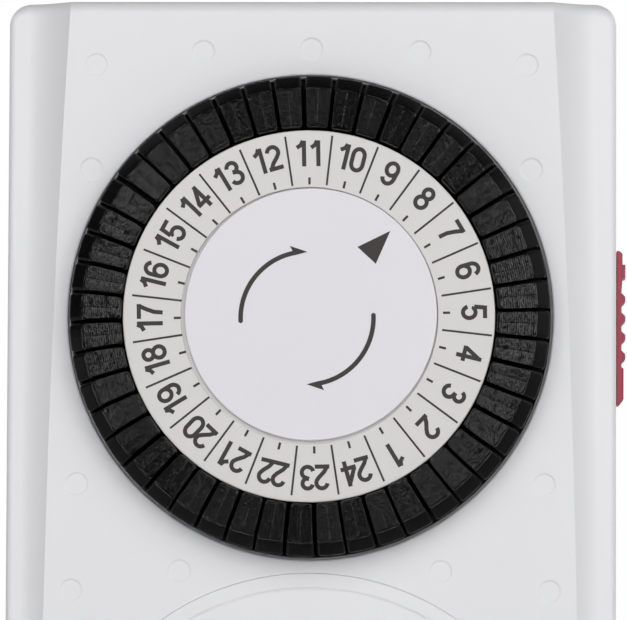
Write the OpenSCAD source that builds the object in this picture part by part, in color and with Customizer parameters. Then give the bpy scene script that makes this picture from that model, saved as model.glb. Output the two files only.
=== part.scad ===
// Plug-in 24-hour timer switch.
// Millimetres. +X is right and +Z is up as seen from the front, which faces -Y.
// The origin lies between the two plug pins, in the plane of the plug's face; the
// pins point along +Y. Depths are counted from that plane towards the front, so a
// point at depth d has y = -d.

/* [Housing] */
// Width of the housing
body_w = 68.8; // [66:0.2:80]
// Height of the housing above the dial
top_margin = 8.5; // [8:0.1:20]
// Height of the housing below the socket's rim
bottom_margin = 4.2; // [4:0.1:15]
// Depth of the housing from its back to its raised front
body_depth = 38; // [38:0.5:44]
// Wall thickness of both covers
wall = 2; // [1.6:0.1:2.2]
// Radius of the housing's corners, seen from the front
corner_r = 2.5; // [2.1:0.1:4]
// Rounding of the raised front's top and bottom edges
front_round = 2; // [1:0.1:2]
// Rounding of the shoulders' outer edges and of the back
side_round = 1.3; // [0.5:0.1:1.6]
// Depth of the rear cover behind the seam
rear_depth = 18; // [16:0.5:19]
// Play between pieces that are fitted together
fit_gap = 0.1; // [0.05:0.01:0.15]

/* [Raised front] */
// Half the width of the raised front at its widest
plateau_half_w = 30.3; // [29.8:0.1:30.8]
// Height at which the raised front is widest, from the plug's axis
plateau_widest_z = -7.7; // [-20:0.1:0]
// Radius of the long curve of its two sides
plateau_arc = 1450; // [1300:10:2400]
// Height of the raised front above the shoulders
plateau_rise = 2; // [1:0.1:2.4]
// Radius of the coves between the raised front and the shoulders
cove_r = 4.2; // [2.6:0.1:4.5]
// Radius of the round pips
pip_r = 1.3; // [0.8:0.1:1.6]
// Height of the pips
pip_rise = 0.25; // [0.1:0.05:0.5]

/* [Dial] */
// Gap between the dial and the socket's rim
rim_gap = 1.7; // [1.2:0.1:4]
// Number of tappets round the dial, two for each hour
tappet_count = 48; // [48:48:48]
// Outer radius of the ring of tappets
tappet_out_r = 27.2; // [26.6:0.1:27.6]
// Width of the chamfer round the tappets' outer edge
tappet_chamfer = 1.9; // [0.5:0.1:2.2]
// Height of the tappets above the raised front
tappet_proud = 5; // [4.4:0.1:6]
// Height of a tappet's head
tappet_head = 5.7; // [5:0.1:6.5]
// How far a tappet pushes in
tappet_travel = 2.2; // [1.2:0.1:2.2]
// Gap between neighbouring tappets
tappet_gap = 0.3; // [0.2:0.05:0.4]
// Turn of the tappets' gaps against the printed scale, in degrees
tappet_turn = 1.65; // [-3:0.05:3]
// Outer radius of the number ring
ring_r = 20.85; // [20.4:0.05:21.2]
// Radius of the fixed disc at the centre
disc_r = 14.15; // [12:0.05:15]
// Play round the dial where it passes the housing and the fixed disc
dial_gap = 0.3; // [0.25:0.05:0.4]
// Radius of the post that the dial turns on
post_r = 4; // [3:0.1:4.5]

/* [Plug] */
// Diameter of the round plug body
plug_d = 37; // [36:0.1:38.4]
// Depth of the plug body
plug_depth = 16.5; // [15:0.1:18]
// Diameter of the pins
pin_d = 4.8; // [4.8:0.1:5]
// Length of the pins
pin_length = 19; // [18:0.5:20]
// Distance between the pins
pin_pitch = 19; // [18.6:0.1:19.4]
// Thickness of the earth strap
earth_t = 0.8; // [0.5:0.1:1]

/* [Socket] */
// Outer radius of the socket's rim
rim_r = 28.9; // [28:0.1:29]
// Height of the rim above the raised front
rim_rise = 0.6; // [0.3:0.1:1]
// Width of the bevel round the rim
rim_bevel = 1.4; // [0.6:0.1:2]
// Radius of the well that takes a plug
well_r = 19.5; // [19.3:0.1:20]
// Depth of the well
well_depth = 17.5; // [17:0.1:18]
// Thickness of the well's floor
well_floor_t = 1.8; // [1.5:0.1:2.2]
// Diameter of the two pin holes
pin_hole_d = 5.6; // [5.2:0.1:6]
// Thickness of the safety shutter
shutter_t = 1.5; // [1:0.1:1.8]

/* [Movement] */
// Thickness of the movement's plates
plate_t = 2; // [1.5:0.1:2.2]
// Radius of the steel arbors
arbor_r = 1; // [0.8:0.05:1.1]
// Running clearance round arbors, posts and pins
running = 0.05; // [0.03:0.01:0.08]
// Tooth module of the dial's ring gear and of its pinion
ring_module = 0.5; // [0.5:0.5:0.5]
// Tooth module of the other wheels
train_module = 0.4; // [0.4:0.4:0.4]
// Radius of the motor's rotor
rotor_r = 7; // [5:0.1:7.2]
// Radius of the motor's winding
winding_r = 5.8; // [4.5:0.1:6]

/* [Switch] */
// Travel of the override slider
slider_travel = 4; // [3.8:0.1:4.2]
// Height of the slider's button
slider_h = 17.5; // [17:0.1:19]
// Width of the slider's button
slider_w = 7; // [6:0.1:7.4]
// Thickness of the switch's brass strips
strip_t = 0.8; // [0.5:0.1:0.8]
// Thickness of the sprung blade
blade_t = 0.4; // [0.3:0.05:0.5]
// Radius of the feeler lever's pin
feeler_pin_r = 0.8; // [0.6:0.05:0.9]

/* [Hidden] */
$fn = 96;
step = 0.01;
hours = 24;

// depths of the housing
back_d = plug_depth;
floor_d = back_d + wall;
seam_d = back_d + rear_depth;
front_d = back_d + body_depth;
shoulder_d = front_d - plateau_rise;
dial_z = rim_r + rim_gap + tappet_out_r;
body_x = body_w / 2;
body_above = dial_z + tappet_out_r + top_margin;
body_below = rim_r + bottom_margin;
outline = [-body_x, body_x, -body_below, body_above];
lip_h = 1.5;
cove_w = sqrt(2 * cove_r * plateau_rise - plateau_rise * plateau_rise);
inner_r = max(corner_r - wall, 0.5);
opening_r = tappet_out_r + dial_gap + fit_gap;

// the socket's well, the shutter behind its floor and the plug's flange
rim_top = front_d + rim_rise;
well_floor = rim_top - well_depth;
shutter_front = well_floor - well_floor_t - 0.2;
shutter_back = shutter_front - shutter_t;
plug_r = plug_d / 2;
strap_play = 0.1;
strap_reach = well_r + strap_play + earth_t;
plug_flange_r = strap_reach + fit_gap;
plug_flange_t = 1;

// the dial, from the tappets' tops backwards
tappet_top = front_d + tappet_proud;
head_back = tappet_top - tappet_head;
flange_front = head_back - tappet_travel - dial_gap;
flange_back = flange_front - 2.5;
stem_end = flange_back - 2.8;
tappet_pitch = 360 / tappet_count;
tappet_in_r = ring_r + 0.15;
stem_r = (ring_r + tappet_out_r) / 2 - 0.4;
stem_half = [1, 0.95];
stem_play = 0.15;
ring_front = tappet_top - 0.6;
ring_t = 1.3;
drum_r = ring_r - 0.15;
drum_wall = 1.6;
hub_r = post_r + 2.5;
disc_under = ring_front - 1.5;

// the movement, from the dial's skirt backwards
skirt_back = flange_back - 7.1;
plate_front = skirt_back - 1;
plate_back = plate_front - plate_t;
base_back = floor_d + 0.8;
base_front = base_back + 1.5;
tang_r = pin_d / 2 - 0.4;
post_end = disc_under - 0.8;
post_bore_r = 2;
wheel_t = 1.4;
stator_t = 3.2;
bobbin_r = winding_r + 0.4;
bobbin_core_r = 3.2;
coil_d = plate_back - bobbin_r - fit_gap;
stator_d = band(coil_d, stator_t / 2);
output_d = plate_back - 2.3;
clutch_d = stator_d[0] - wheel_t - 0.4;
third_d = clutch_d - wheel_t - 1.6;

// teeth, with each pair's centre distance and the direction of its second centre
ring_teeth = 72;
output_leaves = 9;
output_teeth = 50;
clutch_leaves = 10;
clutch_teeth = 50;
third_leaves = 8;
third_teeth = 48;
rotor_leaves = 8;
output_angle = 135;
clutch_angle = 250;
third_angle = -60;
rotor_angle = 12;
dial_at = [0, dial_z];
output_at = beside(dial_at, (ring_teeth - output_leaves) * ring_module / 2, output_angle);
clutch_at = beside(output_at, (output_teeth + clutch_leaves) * train_module / 2, clutch_angle);
third_at = beside(clutch_at, (clutch_teeth + third_leaves) * train_module / 2, third_angle);
rotor_at = beside(third_at, (third_teeth + rotor_leaves) * train_module / 2, rotor_angle);

// the plates and what holds them; the switch stands to their right
wall_x = body_x - wall;
switch_w = 6.4;
plate_left = 2.4 - wall_x;
plate_right = wall_x - switch_w - 1;
plate_outline = [plate_left, plate_right, dial_z - 23.3, dial_z + 28.2];
pillar_r = 2.2;
pillars = [[plate_left + 3, dial_z + 19.7], [plate_left + 3, dial_z - 19.8],
           [plate_right - 2.8, dial_z + 24.7], [plate_right - 2.8, dial_z - 20.3]];
plate_screw_r = 1.2;
cover_boss_r = 4.2;
cover_boss_in = wall + cover_boss_r - 0.4;
cover_bosses = [for (x = [cover_boss_in - body_x, body_x - cover_boss_in],
                     z = [body_above - cover_boss_in, cover_boss_in - body_below]) [x, z]];
cover_screw_r = 1.45;
screw_head = [3, 2];
screw_head_d = seam_d - 4.2;

// the motor's iron limbs, their width and the coil between them
limb = 4;
limb_x = [-limb, plate_right - 1 - limb];
coil_x = [limb_x[0] + limb + 0.6, limb_x[1] - 0.6];
coil_z = rotor_at[1] + 26.6;

// the switch, beside the dial
lever_x = [wall_x - 5.5, wall_x - 1.7];
strip_x = [wall_x - 5.4, wall_x - 1.8];
strip_mid = (strip_x[0] + strip_x[1]) / 2;
lever_front = stem_end - tappet_travel - dial_gap;
lever_t = 2;
pivot_z = dial_z - 14;
pivot_d = lever_front - 2.5;
blade_d = lever_front - 6.5;
blade_root_z = dial_z - 17.8;
blade_top_z = dial_z + 3.2;
contact_z = dial_z + 1.2;
nub_z = dial_z - 2.8;
slider_z = dial_z - 1.2;
neck_half = 2;
neck_h = 3.5;
slider_d = shoulder_d - side_round - 4.7;
bar_d = floor_d + 1.7;
switched_d = bar_d + strip_t + 1;
tongue_d = blade_d - 0.7 - 1 - strip_t;

// ---------------------------------------------------------------- helpers

function beside(p, r, angle) = p + r * [cos(angle), sin(angle)];
function band(mid, half) = [mid - half, mid + half];
function tappet_node(h) = str("tappets_", h < 10 ? "0" : "", h);

// Extrudes a drawing of the front view, made in [x, z], between two depths.
module slab(from, to) {
  translate([0, -from, 0]) rotate([90, 0, 0]) linear_extrude(to - from) children();
}

// Extrudes a drawing of the side view, made in [z, depth], between two values of x.
module side_slab(from, to) {
  translate([from, 0, 0]) rotate(180, [1, 0, 1]) linear_extrude(to - from) children();
}

// Turns a profile drawn in [radius, depth] about the depth axis.
module lathe(angle = 360) {
  rotate([90, 0, 0]) rotate_extrude(angle = angle) children();
}

module at(p) {
  translate([p[0], 0, p[1]]) children();
}

module turned(angle) {
  rotate([0, -angle, 0]) children();
}

module rod(r, from, to) {
  slab(from, to) circle(r);
}

module span(x, z) {
  translate([x[0], z[0]]) square([x[1] - x[0], z[1] - z[0]]);
}

// A rectangle [x0, x1, z0, z1] with round corners.
module rounded(box, r) {
  span([box[0] + r, box[1] - r], [box[2], box[3]]);
  span([box[0], box[1]], [box[2] + r, box[3] - r]);
  for (x = [box[0] + r, box[1] - r], z = [box[2] + r, box[3] - r])
    translate([x, z]) circle(r);
}

function inset(box, d) = [box[0] + d, box[1] - d, box[2] + d, box[3] - d];

// A block with round corners whose edges at depth `end` are rounded by `edge`.
module soft_case(start, end, edge) {
  s = end > start ? 1 : -1;
  mid = end - s * edge;
  corner = max(corner_r, edge + step);
  slab(min(start, mid), max(start, mid)) rounded(outline, corner);
  slab(min(start, end), max(start, end)) rounded(inset(outline, edge), corner - edge);
  for (z = [outline[2] + edge, outline[3] - edge])
    translate([outline[0] + corner, -mid, z]) rotate([0, 90, 0])
      cylinder(r = edge, h = body_w - 2 * corner);
  for (x = [outline[0] + edge, outline[1] - edge])
    translate([x, -mid, outline[2] + corner])
      cylinder(r = edge, h = body_above + body_below - 2 * corner);
  for (x = [outline[0] + corner, outline[1] - corner], z = [outline[2] + corner, outline[3] - corner])
    at([x, z]) lathe() translate([0, mid]) intersection() {
      union() {
        translate([0, -edge]) square([corner - edge, 2 * edge]);
        translate([corner - edge, 0]) circle(edge);
      }
      translate([0, -edge]) square([corner, 2 * edge]);
    }
}

// All that lies inside one of the two long arcs that bound the raised front.
module plateau_side(s, grow) {
  translate([s * (plateau_arc - plateau_half_w - grow), plateau_widest_z])
    circle(plateau_arc, $fn = 720);
}

// What lies between the two long arcs at the sides of the raised front.
module plateau_shape(grow = 0) {
  intersection() {
    plateau_side(1, grow);
    plateau_side(-1, grow);
  }
}

// ---------------------------------------------------------------- teeth

// Half the thickness of a tooth, measured `above` the pitch circle.
function tooth_half(m, above) = 0.2 * PI * m - above * tan(20);
function tip_height(m) = 0.85 * m;
function root_depth(m) = 1.15 * m;
function polar(r, arc, angle) = let(a = angle + arc / r * 180 / PI) [r * cos(a), r * sin(a)];

// Outline of `n` teeth; `side` is 1 for teeth that point out and -1 for a ring gear's.
function tooth_points(n, m, phase, side = 1) =
  let(r = n * m / 2, tip = r + side * tip_height(m), root = r - side * root_depth(m),
      thin = tooth_half(m, tip_height(m)), thick = tooth_half(m, -root_depth(m)))
  [for (i = [0:n - 1]) let(a = phase + 360 * i / n)
    for (p = [[root, -thick], [tip, -thin], [tip, thin], [root, thick]]) polar(p[0], p[1], a)];

// Turn of the second wheel of a pair, so that its teeth stand in the first one's gaps.
function mesh_phase(n_a, phase_a, n_b, angle) =
  angle + 180 - 360 / n_b * ((phase_a - angle) * n_a / 360 + 0.5);
function ring_mesh_phase(n_a, phase_a, n_b, angle) =
  angle + 360 / n_b * ((phase_a - angle) * n_a / 360 + 0.5);

module teeth(n, m, phase, from, to) {
  slab(from, to) polygon(tooth_points(n, m, phase));
}

module arbor() {
  rod(arbor_r, base_back, plate_front);
}

// ---------------------------------------------------------------- housing

// Places of the pips on the right half, [x, z]: by the top edge, beside the dial,
// beside the socket and by the bottom edge. One more stands alone on the centre line.
pip_x = plateau_half_w - 3.2;
pip_rows = [[pip_x - 2.8, body_above - 7.3], [12.2, body_above - 5.8],
            [pip_x - 2.3, dial_z + 16.7], [pip_x - 0.8, dial_z - 18.8],
            [pip_x - 0.2, rim_r - 1.8], [14.7, rim_r + 0.4], [pip_x, 15.3], [pip_x, -15.3],
            [pip_x - 0.2, 6 - body_below], [14.7, 3.8 - body_below]];

module pips() {
  for (p = pip_rows, s = [-1, 1]) at([s * p[0], p[1]]) rod(pip_r, front_d - step, front_d + pip_rise);
  at([0, body_above - 5.5]) rod(pip_r, front_d - step, front_d + pip_rise);
}

// The coves that lead from the raised front down to the shoulders.
module coves() {
  intersection() {
    slab(seam_d, front_d) rounded(inset(outline, side_round), corner_r);
    for (s = [-1, 1]) translate([s * (plateau_half_w - plateau_arc), 0, plateau_widest_z])
      lathe($fn = 720) translate([plateau_arc, shoulder_d]) difference() {
        translate([-1, -1]) square([cove_w + 1, plateau_rise + 1]);
        translate([cove_w, cove_r]) circle(cove_r);
      }
  }
}

module front_cover() {
  slot_z = [slider_z - slider_travel - neck_h - 0.3, slider_z + neck_h + 0.3];
  color("whitesmoke") difference() {
    union() {
      soft_case(seam_d + fit_gap, shoulder_d, side_round);
      intersection() {
        soft_case(seam_d + fit_gap, front_d, front_round);
        slab(seam_d, front_d) plateau_shape();
      }
      coves();
      pips();
    }
    difference() {
      union() {
        slab(seam_d, shoulder_d - wall) rounded(inset(outline, wall), inner_r);
        slab(shoulder_d - wall - 1, front_d - wall) intersection() {
          plateau_shape(-wall);
          rounded(inset(outline, wall), inner_r);
        }
        slab(seam_d - 1, seam_d + lip_h + fit_gap)
          rounded(inset(outline, wall / 2), max(corner_r - wall / 2, 0.5));
      }
      for (p = cover_bosses) at(p) rod(3.2, seam_d, front_d);
    }
    at(dial_at) rod(opening_r, seam_d, front_d + 1);
    rod(rim_r + 2 * fit_gap, front_d - 1, front_d + 1);
    rod(rim_r - 1.7, seam_d, front_d);
    for (p = cover_bosses) at(p) rod(cover_screw_r + running, seam_d - 1, shoulder_d - wall - 1);
    side_slab(wall_x - 1, body_x + 1) span(slot_z, band(slider_d, neck_half + 0.3));
  }
}

module rear_cover() {
  tray_posts = [for (x = [-16, 16], z = [-10.5, 10.5]) [x, z]];
  color("whitesmoke") difference() {
    union() {
      difference() {
        soft_case(seam_d, back_d, side_round);
        slab(floor_d, seam_d + 1) rounded(inset(outline, wall), inner_r);
      }
      difference() {
        slab(floor_d, seam_d + lip_h)
          rounded(inset(outline, wall / 2 + fit_gap), max(corner_r - wall / 2, 0.5));
        slab(floor_d - 1, seam_d + lip_h + 1) rounded(inset(outline, wall), inner_r);
      }
      for (p = cover_bosses) at(p) rod(cover_boss_r, back_d, seam_d);
      for (p = pillars) at(p) rod(3, back_d, base_back);
      for (p = tray_posts) at(p) rod(2, back_d, switched_d - 0.9);
    }
    rod(plug_r + fit_gap, back_d - 1, floor_d + 1);
    for (p = cover_bosses) at(p) {
      rod(screw_head[0] + 0.3, back_d - 1, screw_head_d);
      rod(cover_screw_r + 0.2, back_d, seam_d + 1);
    }
    for (p = pillars) at(p) rod(plate_screw_r + running, back_d + 1, base_back + 1);
  }
}

// The round plug: a cup whose flange lies on the rear cover's floor inside.
module plug_body() {
  pocket_r = 4.2;
  color("whitesmoke") difference() {
    union() {
      rod(plug_r, 0, floor_d + plug_flange_t);
      difference() {
        rod(plug_flange_r, floor_d, floor_d + plug_flange_t);
        for (z = [-plug_flange_r, plug_flange_r], x = [-16, 16])
          at([x, sign(z) * 10.5]) rod(2.2, floor_d - 1, floor_d + plug_flange_t + 1);
      }
    }
    difference() {
      rod(plug_r - 2.5, 3, floor_d + plug_flange_t + 1);
      for (s = [-1, 1]) at([s * pin_pitch / 2, 0]) rod(pocket_r, 0, plug_depth - 2.5);
    }
    for (s = [-1, 1]) {
      at([s * pin_pitch / 2, 0]) rod(tang_r + running, -1, plug_depth);
      slab(-1, back_d) span(s > 0 ? [plug_r - 2, 25] : [-25, 2 - plug_r], [-2.8, 2.8]);
      slab(1.5, floor_d + plug_flange_t + 1)
        span([-3.2, 3.2], s > 0 ? [plug_r - 1.4, plug_r + 0.4] : [-plug_r - 0.4, 1.4 - plug_r]);
    }
  }
}

module cover_screws() {
  head_back = screw_head_d - screw_head[1];
  color("silver") for (p = cover_bosses) at(p) difference() {
    union() {
      rod(screw_head[0], head_back, screw_head_d);
      rod(cover_screw_r, screw_head_d - step, shoulder_d - wall - 4.5);
    }
    slab(head_back - 1, head_back + 1.1) for (a = [0, 90]) rotate(a) span([-1.8, 1.8], [-0.4, 0.4]);
  }
}

module socket_insert() {
  clip_x = 3.3;
  boss_r = 1.8;
  color("white") difference() {
    union() {
      lathe() polygon([[well_r, front_d - 1], [rim_r, front_d - 1], [rim_r, front_d],
                       [rim_r - rim_bevel, rim_top], [well_r, rim_top]]);
      rod(well_r + 1.8, well_floor - well_floor_t, rim_top);
      rod(boss_r, shutter_back - 2.1, well_floor - 1);
    }
    difference() {
      rod(well_r, well_floor, rim_top + 1);
      for (s = [-1, 1])
        slab(well_floor - 1, rim_top - 2)
          span(s > 0 ? [well_r - 1.9, well_r + 0.5] : [-well_r - 0.5, 1.9 - well_r], [-2.2, 2.2]);
    }
    for (s = [-1, 1]) {
      at([s * pin_pitch / 2, 0]) rod(pin_hole_d / 2, well_floor - 3, well_floor + 1);
      slab(well_floor - 3, rim_top - 4)
        span([-clip_x, clip_x], s > 0 ? [well_r - 0.5, well_r + 2.5] : [-well_r - 2.5, 0.5 - well_r]);
    }
  }
}

module centre_disc() {
  color("white") at(dial_at) {
    lathe() polygon([[0, disc_under], [disc_r, disc_under], [disc_r, ring_front - 0.2],
                     [disc_r - 0.2, ring_front], [0, ring_front]]);
    rod(post_r + 1, post_end, disc_under + step);
    rod(post_bore_r, post_end - 8, post_end + step);
  }
}

// ---------------------------------------------------------------- current path

module plug_pins() {
  r = pin_d / 2;
  color("lightgray") for (s = [-1, 1]) at([s * pin_pitch / 2, 0]) {
    lathe() difference() {
      union() {
        translate([0, 1 - pin_length]) square([r, pin_length - 1]);
        translate([0, -pin_length]) square([r - 1, 1 + step]);
        translate([r - 1, 1 - pin_length]) circle(1);
      }
      translate([-2, -pin_length - 1]) square([2, pin_length + 2]);
    }
    rod(tang_r, -step, bar_d);
  }
}

module earth_strap() {
  plug_z = plug_r - 1.2;
  cup_z = well_r + strap_play;
  cross = floor_d + plug_flange_t + fit_gap;
  color("goldenrod") {
    slab(cross, cross + earth_t) span([-3, 3], [-strap_reach, strap_reach]);
    for (s = [0, 180]) rotate([0, s, 0]) {
      slab(2.5, cross + step) span([-3, 3], [plug_z, plug_z + earth_t]);
      slab(cross, rim_top - 5.1) span([-3, 3], [cup_z, strap_reach]);
      side_slab(-2, 2) polygon([[plug_z + earth_t - step, 5], [plug_z + earth_t + 0.8, 7],
                                [plug_z + earth_t + 0.8, 10], [plug_z + earth_t - step, 12]]);
      side_slab(-2, 2) polygon([[cup_z + step, well_floor + 3.9], [cup_z - 1.8, well_floor + 6.4],
                                [cup_z - 1.8, well_floor + 8.4], [cup_z + step, well_floor + 10.9]]);
    }
  }
}

module live_bar() {
  x = pin_pitch / 2;
  top_z = blade_top_z + 2.7;
  color("gold") {
    slab(bar_d, bar_d + strip_t) {
      translate([x, 0]) circle(3.2);
      span([x, strip_x[1]], [-2.5, 2.5]);
      span(strip_x, [-2.5, top_z + strip_t]);
    }
    slab(bar_d, tongue_d + strip_t) span(strip_x, [top_z, top_z + strip_t]);
    slab(tongue_d, tongue_d + strip_t) span(strip_x, [contact_z - 3, top_z + strip_t]);
    at([strip_mid, contact_z]) rod(1.6, tongue_d + strip_t - step, tongue_d + strip_t + 1);
  }
}

module neutral_bar() {
  x = -pin_pitch / 2;
  end_x = x - 12.1;
  color("gold") {
    slab(bar_d, bar_d + strip_t) {
      translate([x, 0]) circle(3.2);
      span([end_x, x], [-2.5, 2.5]);
    }
    slab(bar_d, switched_d + strip_t) span([end_x, end_x + strip_t], [-2.5, 2.5]);
    slab(switched_d, switched_d + strip_t) span([end_x, x + 3.5], [-2.5, 2.5]);
  }
}

module switched_bar() {
  leg_z = blade_root_z - 10;
  color("gold") {
    slab(switched_d, switched_d + strip_t) {
      span([pin_pitch / 2 - 3.5, strip_x[1]], [-2.5, 2.5]);
      span(strip_x, [-2.5, leg_z + strip_t]);
    }
    slab(switched_d, blade_d + strip_t) span(strip_x, [leg_z, leg_z + strip_t]);
    slab(blade_d, blade_d + strip_t) span(strip_x, [leg_z, blade_root_z]);
  }
}

module socket_contacts() {
  base_d = switched_d + strip_t;
  jaw = pin_d / 2 - 0.2;
  color("gold") for (s = [-1, 1]) at([s * pin_pitch / 2, 0]) {
    slab(base_d, base_d + 0.6) span([-3.5, 3.5], [-3.2, 3.2]);
    for (side = [-1, 1]) slab(base_d, shutter_back - 1.3)
      translate([side * (jaw + 0.25), 0]) square([0.5, 6], center = true);
  }
}

module contact_tray() {
  color("saddlebrown") difference() {
    slab(switched_d - 0.9, switched_d - 0.1) span([-19, 19], [-13, 13]);
    for (x = [-16, 16], z = [-10.5, 10.5]) at([x, z]) rod(0.8, back_d, front_d);
  }
}

module safety_shutter() {
  reach = pin_pitch / 2 + pin_hole_d / 2 + 0.9;
  color("ivory") difference() {
    slab(shutter_back, shutter_front) rounded([-reach, reach, -3.6, 3.6], 3);
    rod(1.8 + running, shutter_back - 1, shutter_front + 1);
  }
}

// Wire of radius `w` wound round the x axis with the given coil radius.
module wire_coil(r, w, length, turns) {
  sides = 8;
  rings = 14 * turns;
  function ring(i) = let(a = 360 * turns * i / rings, x = w + (length - 2 * w) * i / rings)
    [for (k = [0:sides - 1]) let(b = 360 * k / sides, rr = r + w * cos(b))
      [x + w * sin(b), rr * cos(a), rr * sin(a)]];
  points = [for (i = [0:rings]) each ring(i)];
  walls = [for (i = [0:rings - 1], k = [0:sides - 1])
    let(a = i * sides + k, b = i * sides + (k + 1) % sides)
      each [[a, b, b + sides], [a, b + sides, a + sides]]];
  caps = [[for (k = [sides - 1:-1:0]) k], [for (k = [0:sides - 1]) rings * sides + k]];
  polyhedron(points, concat(walls, caps), convexity = 6);
}

module shutter_spring() {
  color("gray") translate([0, fit_gap - shutter_back, 0]) rotate([0, 0, 90])
    wire_coil(2.4, 0.25, 1.9, 2);
}

// ---------------------------------------------------------------- switch

module switch_base() {
  x = [wall_x - 0.4 - switch_w, wall_x - 0.4];
  color("dimgray") difference() {
    union() {
      slab(bar_d + strip_t + 0.1, blade_d) span(x, [blade_root_z - 7.5, blade_root_z]);
      slab(bar_d + strip_t + 0.1, tongue_d - 0.1) span(x, [blade_root_z - 7.5, blade_top_z + 2.3]);
      for (ear = [x[0], x[1] - 1])
        slab(tongue_d - 1, pivot_d + 2) span([ear, ear + 1], [pivot_z - 2.2, pivot_z + 2.2]);
    }
    side_slab(x[0] - 1, x[1] + 1) translate([pivot_z, pivot_d]) circle(feeler_pin_r + running);
  }
}

// The sprung blade with the contact riveted to it.
module moving_blade() {
  color("orange") slab(blade_d, blade_d + blade_t) span(strip_x, [blade_root_z + fit_gap, blade_top_z]);
  color("silver") at([strip_mid, contact_z]) rod(1.5, blade_d - 0.6, blade_d + step);
}

module feeler_lever() {
  tip_z = [dial_z - 1.2, dial_z + 0.8];
  end_z = dial_z + 5.7;
  color("lightgray") difference() {
    union() {
      slab(lever_front - lever_t, lever_front) {
        span(lever_x, [pivot_z, end_z]);
        span([stem_r - 1, lever_x[1]], tip_z);
        span([lever_x[0], wall_x - 0.4], [end_z - 1.5, end_z]);
      }
      side_slab(lever_x[0] + 1.5, lever_x[1]) translate([pivot_z, pivot_d]) circle(2.1);
      slab(blade_d + blade_t + 0.1, lever_front)
        span([lever_x[0] + 0.9, lever_x[1] - 0.9], band(nub_z, 0.8));
    }
    side_slab(lever_x[0] - 1, lever_x[1] + 1) translate([pivot_z, pivot_d])
      circle(feeler_pin_r + running);
    slab(blade_d, lever_front + 1)
      span([lever_x[0] - 1, lever_x[0] + 1.5], [pivot_z - 3, pivot_z + 2.4]);
  }
}

module feeler_pin() {
  color("silver") side_slab(wall_x - 0.4 - switch_w, wall_x - 0.4)
    translate([pivot_z, pivot_d]) circle(feeler_pin_r);
}

module feeler_spring() {
  color("gray") translate([lever_x[0] - 0.05, -pivot_d, pivot_z]) wire_coil(1.5, 0.22, 1.4, 2);
}

module override_slider() {
  base_x = body_x + fit_gap;
  bottom = slider_z - slider_h / 2;
  top = slider_z + slider_h / 2;
  ribs = [slider_z - 3.3, slider_z - 1.05, slider_z + 1.2, slider_z + 3.3];
  wedge_top = dial_z + 10.2;
  wedge_z = dial_z + 4.2;
  wedge_back = lever_front + 0.3;
  wedge_front = min(shoulder_d - wall - 0.4, wedge_back + 5.6);
  color("crimson") {
    slab(slider_d - slider_w / 2, slider_d + slider_w / 2)
      polygon([[base_x, bottom], [base_x + 0.3, bottom], [base_x + 0.65, bottom + 0.7],
               [base_x + 0.65, top - 0.3], [base_x + 0.35, top], [base_x, top]]);
    slab(slider_d - slider_w / 2 + 0.6, slider_d + slider_w / 2 - 0.6) intersection() {
      union() {
        for (z = ribs) translate([base_x + 0.4, z]) circle(0.65);
        span([base_x, base_x + 0.8], [bottom + 0.9, bottom + 4.2]);
        translate([base_x + 0.35, slider_z + 6.4]) circle(0.7);
      }
      span([base_x, base_x + 2], [bottom, top]);
    }
    slab(slider_d - neck_half, slider_d + neck_half)
      span([wall_x - 0.3, base_x + step], band(slider_z, neck_h));
    side_slab(wall_x - 1.5, wall_x - 0.2)
      polygon([[slider_z - 5.6, wedge_back], [wedge_z, wedge_back],
               [wedge_top, wedge_back + 0.775 * (wedge_top - wedge_z)],
               [wedge_top, wedge_front], [slider_z - 5.6, wedge_front]]);
  }
}

// ---------------------------------------------------------------- movement

module plate_shape() {
  difference() {
    rounded(plate_outline, 2.5);
    for (p = cover_bosses) translate(p) circle(cover_boss_r + 0.6);
  }
}

module back_plate() {
  color("tan") difference() {
    union() {
      slab(base_back, base_front) plate_shape();
      for (p = pillars) at(p) rod(pillar_r, base_back, plate_back);
    }
    for (p = [clutch_at, third_at, rotor_at, output_at]) at(p)
      rod(arbor_r + running, back_d, base_front + 1);
    for (p = pillars) at(p) rod(plate_screw_r + running, back_d, plate_front);
  }
}

module front_plate() {
  neck_r = 3;
  color("tan") difference() {
    union() {
      slab(plate_back, plate_front) plate_shape();
      at(dial_at) rod(post_r, plate_front - step, post_end);
      at(dial_at) rod(hub_r, plate_front - step, skirt_back - 1 + 0.3);
    }
    for (p = [clutch_at, third_at, rotor_at]) at(p)
      rod(arbor_r + running, plate_back - 1, plate_front + 1);
    at(output_at) rod(neck_r + running, plate_back - 1, plate_front + 1);
    at(dial_at) rod(post_bore_r + running, plate_back - 1, post_end + 1);
    for (p = pillars) at(p) rod(plate_screw_r + running, plate_back - 1, plate_front + 1);
  }
}

module plate_screws() {
  color("silver") for (p = pillars) at(p) difference() {
    union() {
      rod(2.2, plate_front, plate_front + 1.4);
      rod(plate_screw_r, back_d + 1.2, plate_front + step);
    }
    slab(plate_front + 0.7, plate_front + 2) span([-2.5, 2.5], [-0.3, 0.3]);
  }
}

module stator_core() {
  foot = band(rotor_at[1], rotor_r + 1.7);
  yoke = band(coil_z, limb / 2);
  rivet_r = 1.2;
  color("slategray") difference() {
    slab(stator_d[0], stator_d[1]) {
      span([rotor_at[0] - rotor_r - 2.5, limb_x[1] + limb], foot);
      for (x = limb_x) span([x, x + limb], [foot[1] - 1, yoke[1]]);
      span([limb_x[0], limb_x[1] + limb], yoke);
    }
    at(rotor_at) rod(rotor_r + 0.5, stator_d[0] - 1, stator_d[1] + 1);
    at(third_at) rod(arbor_r + 0.4, stator_d[0] - 1, stator_d[1] + 1);
    for (x = [rotor_at[0] + rotor_r + 5, limb_x[1] + limb / 2])
      at([x, rotor_at[1]]) rod(rivet_r, stator_d[0] - 1, stator_d[1] + 1);
  }
}

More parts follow.
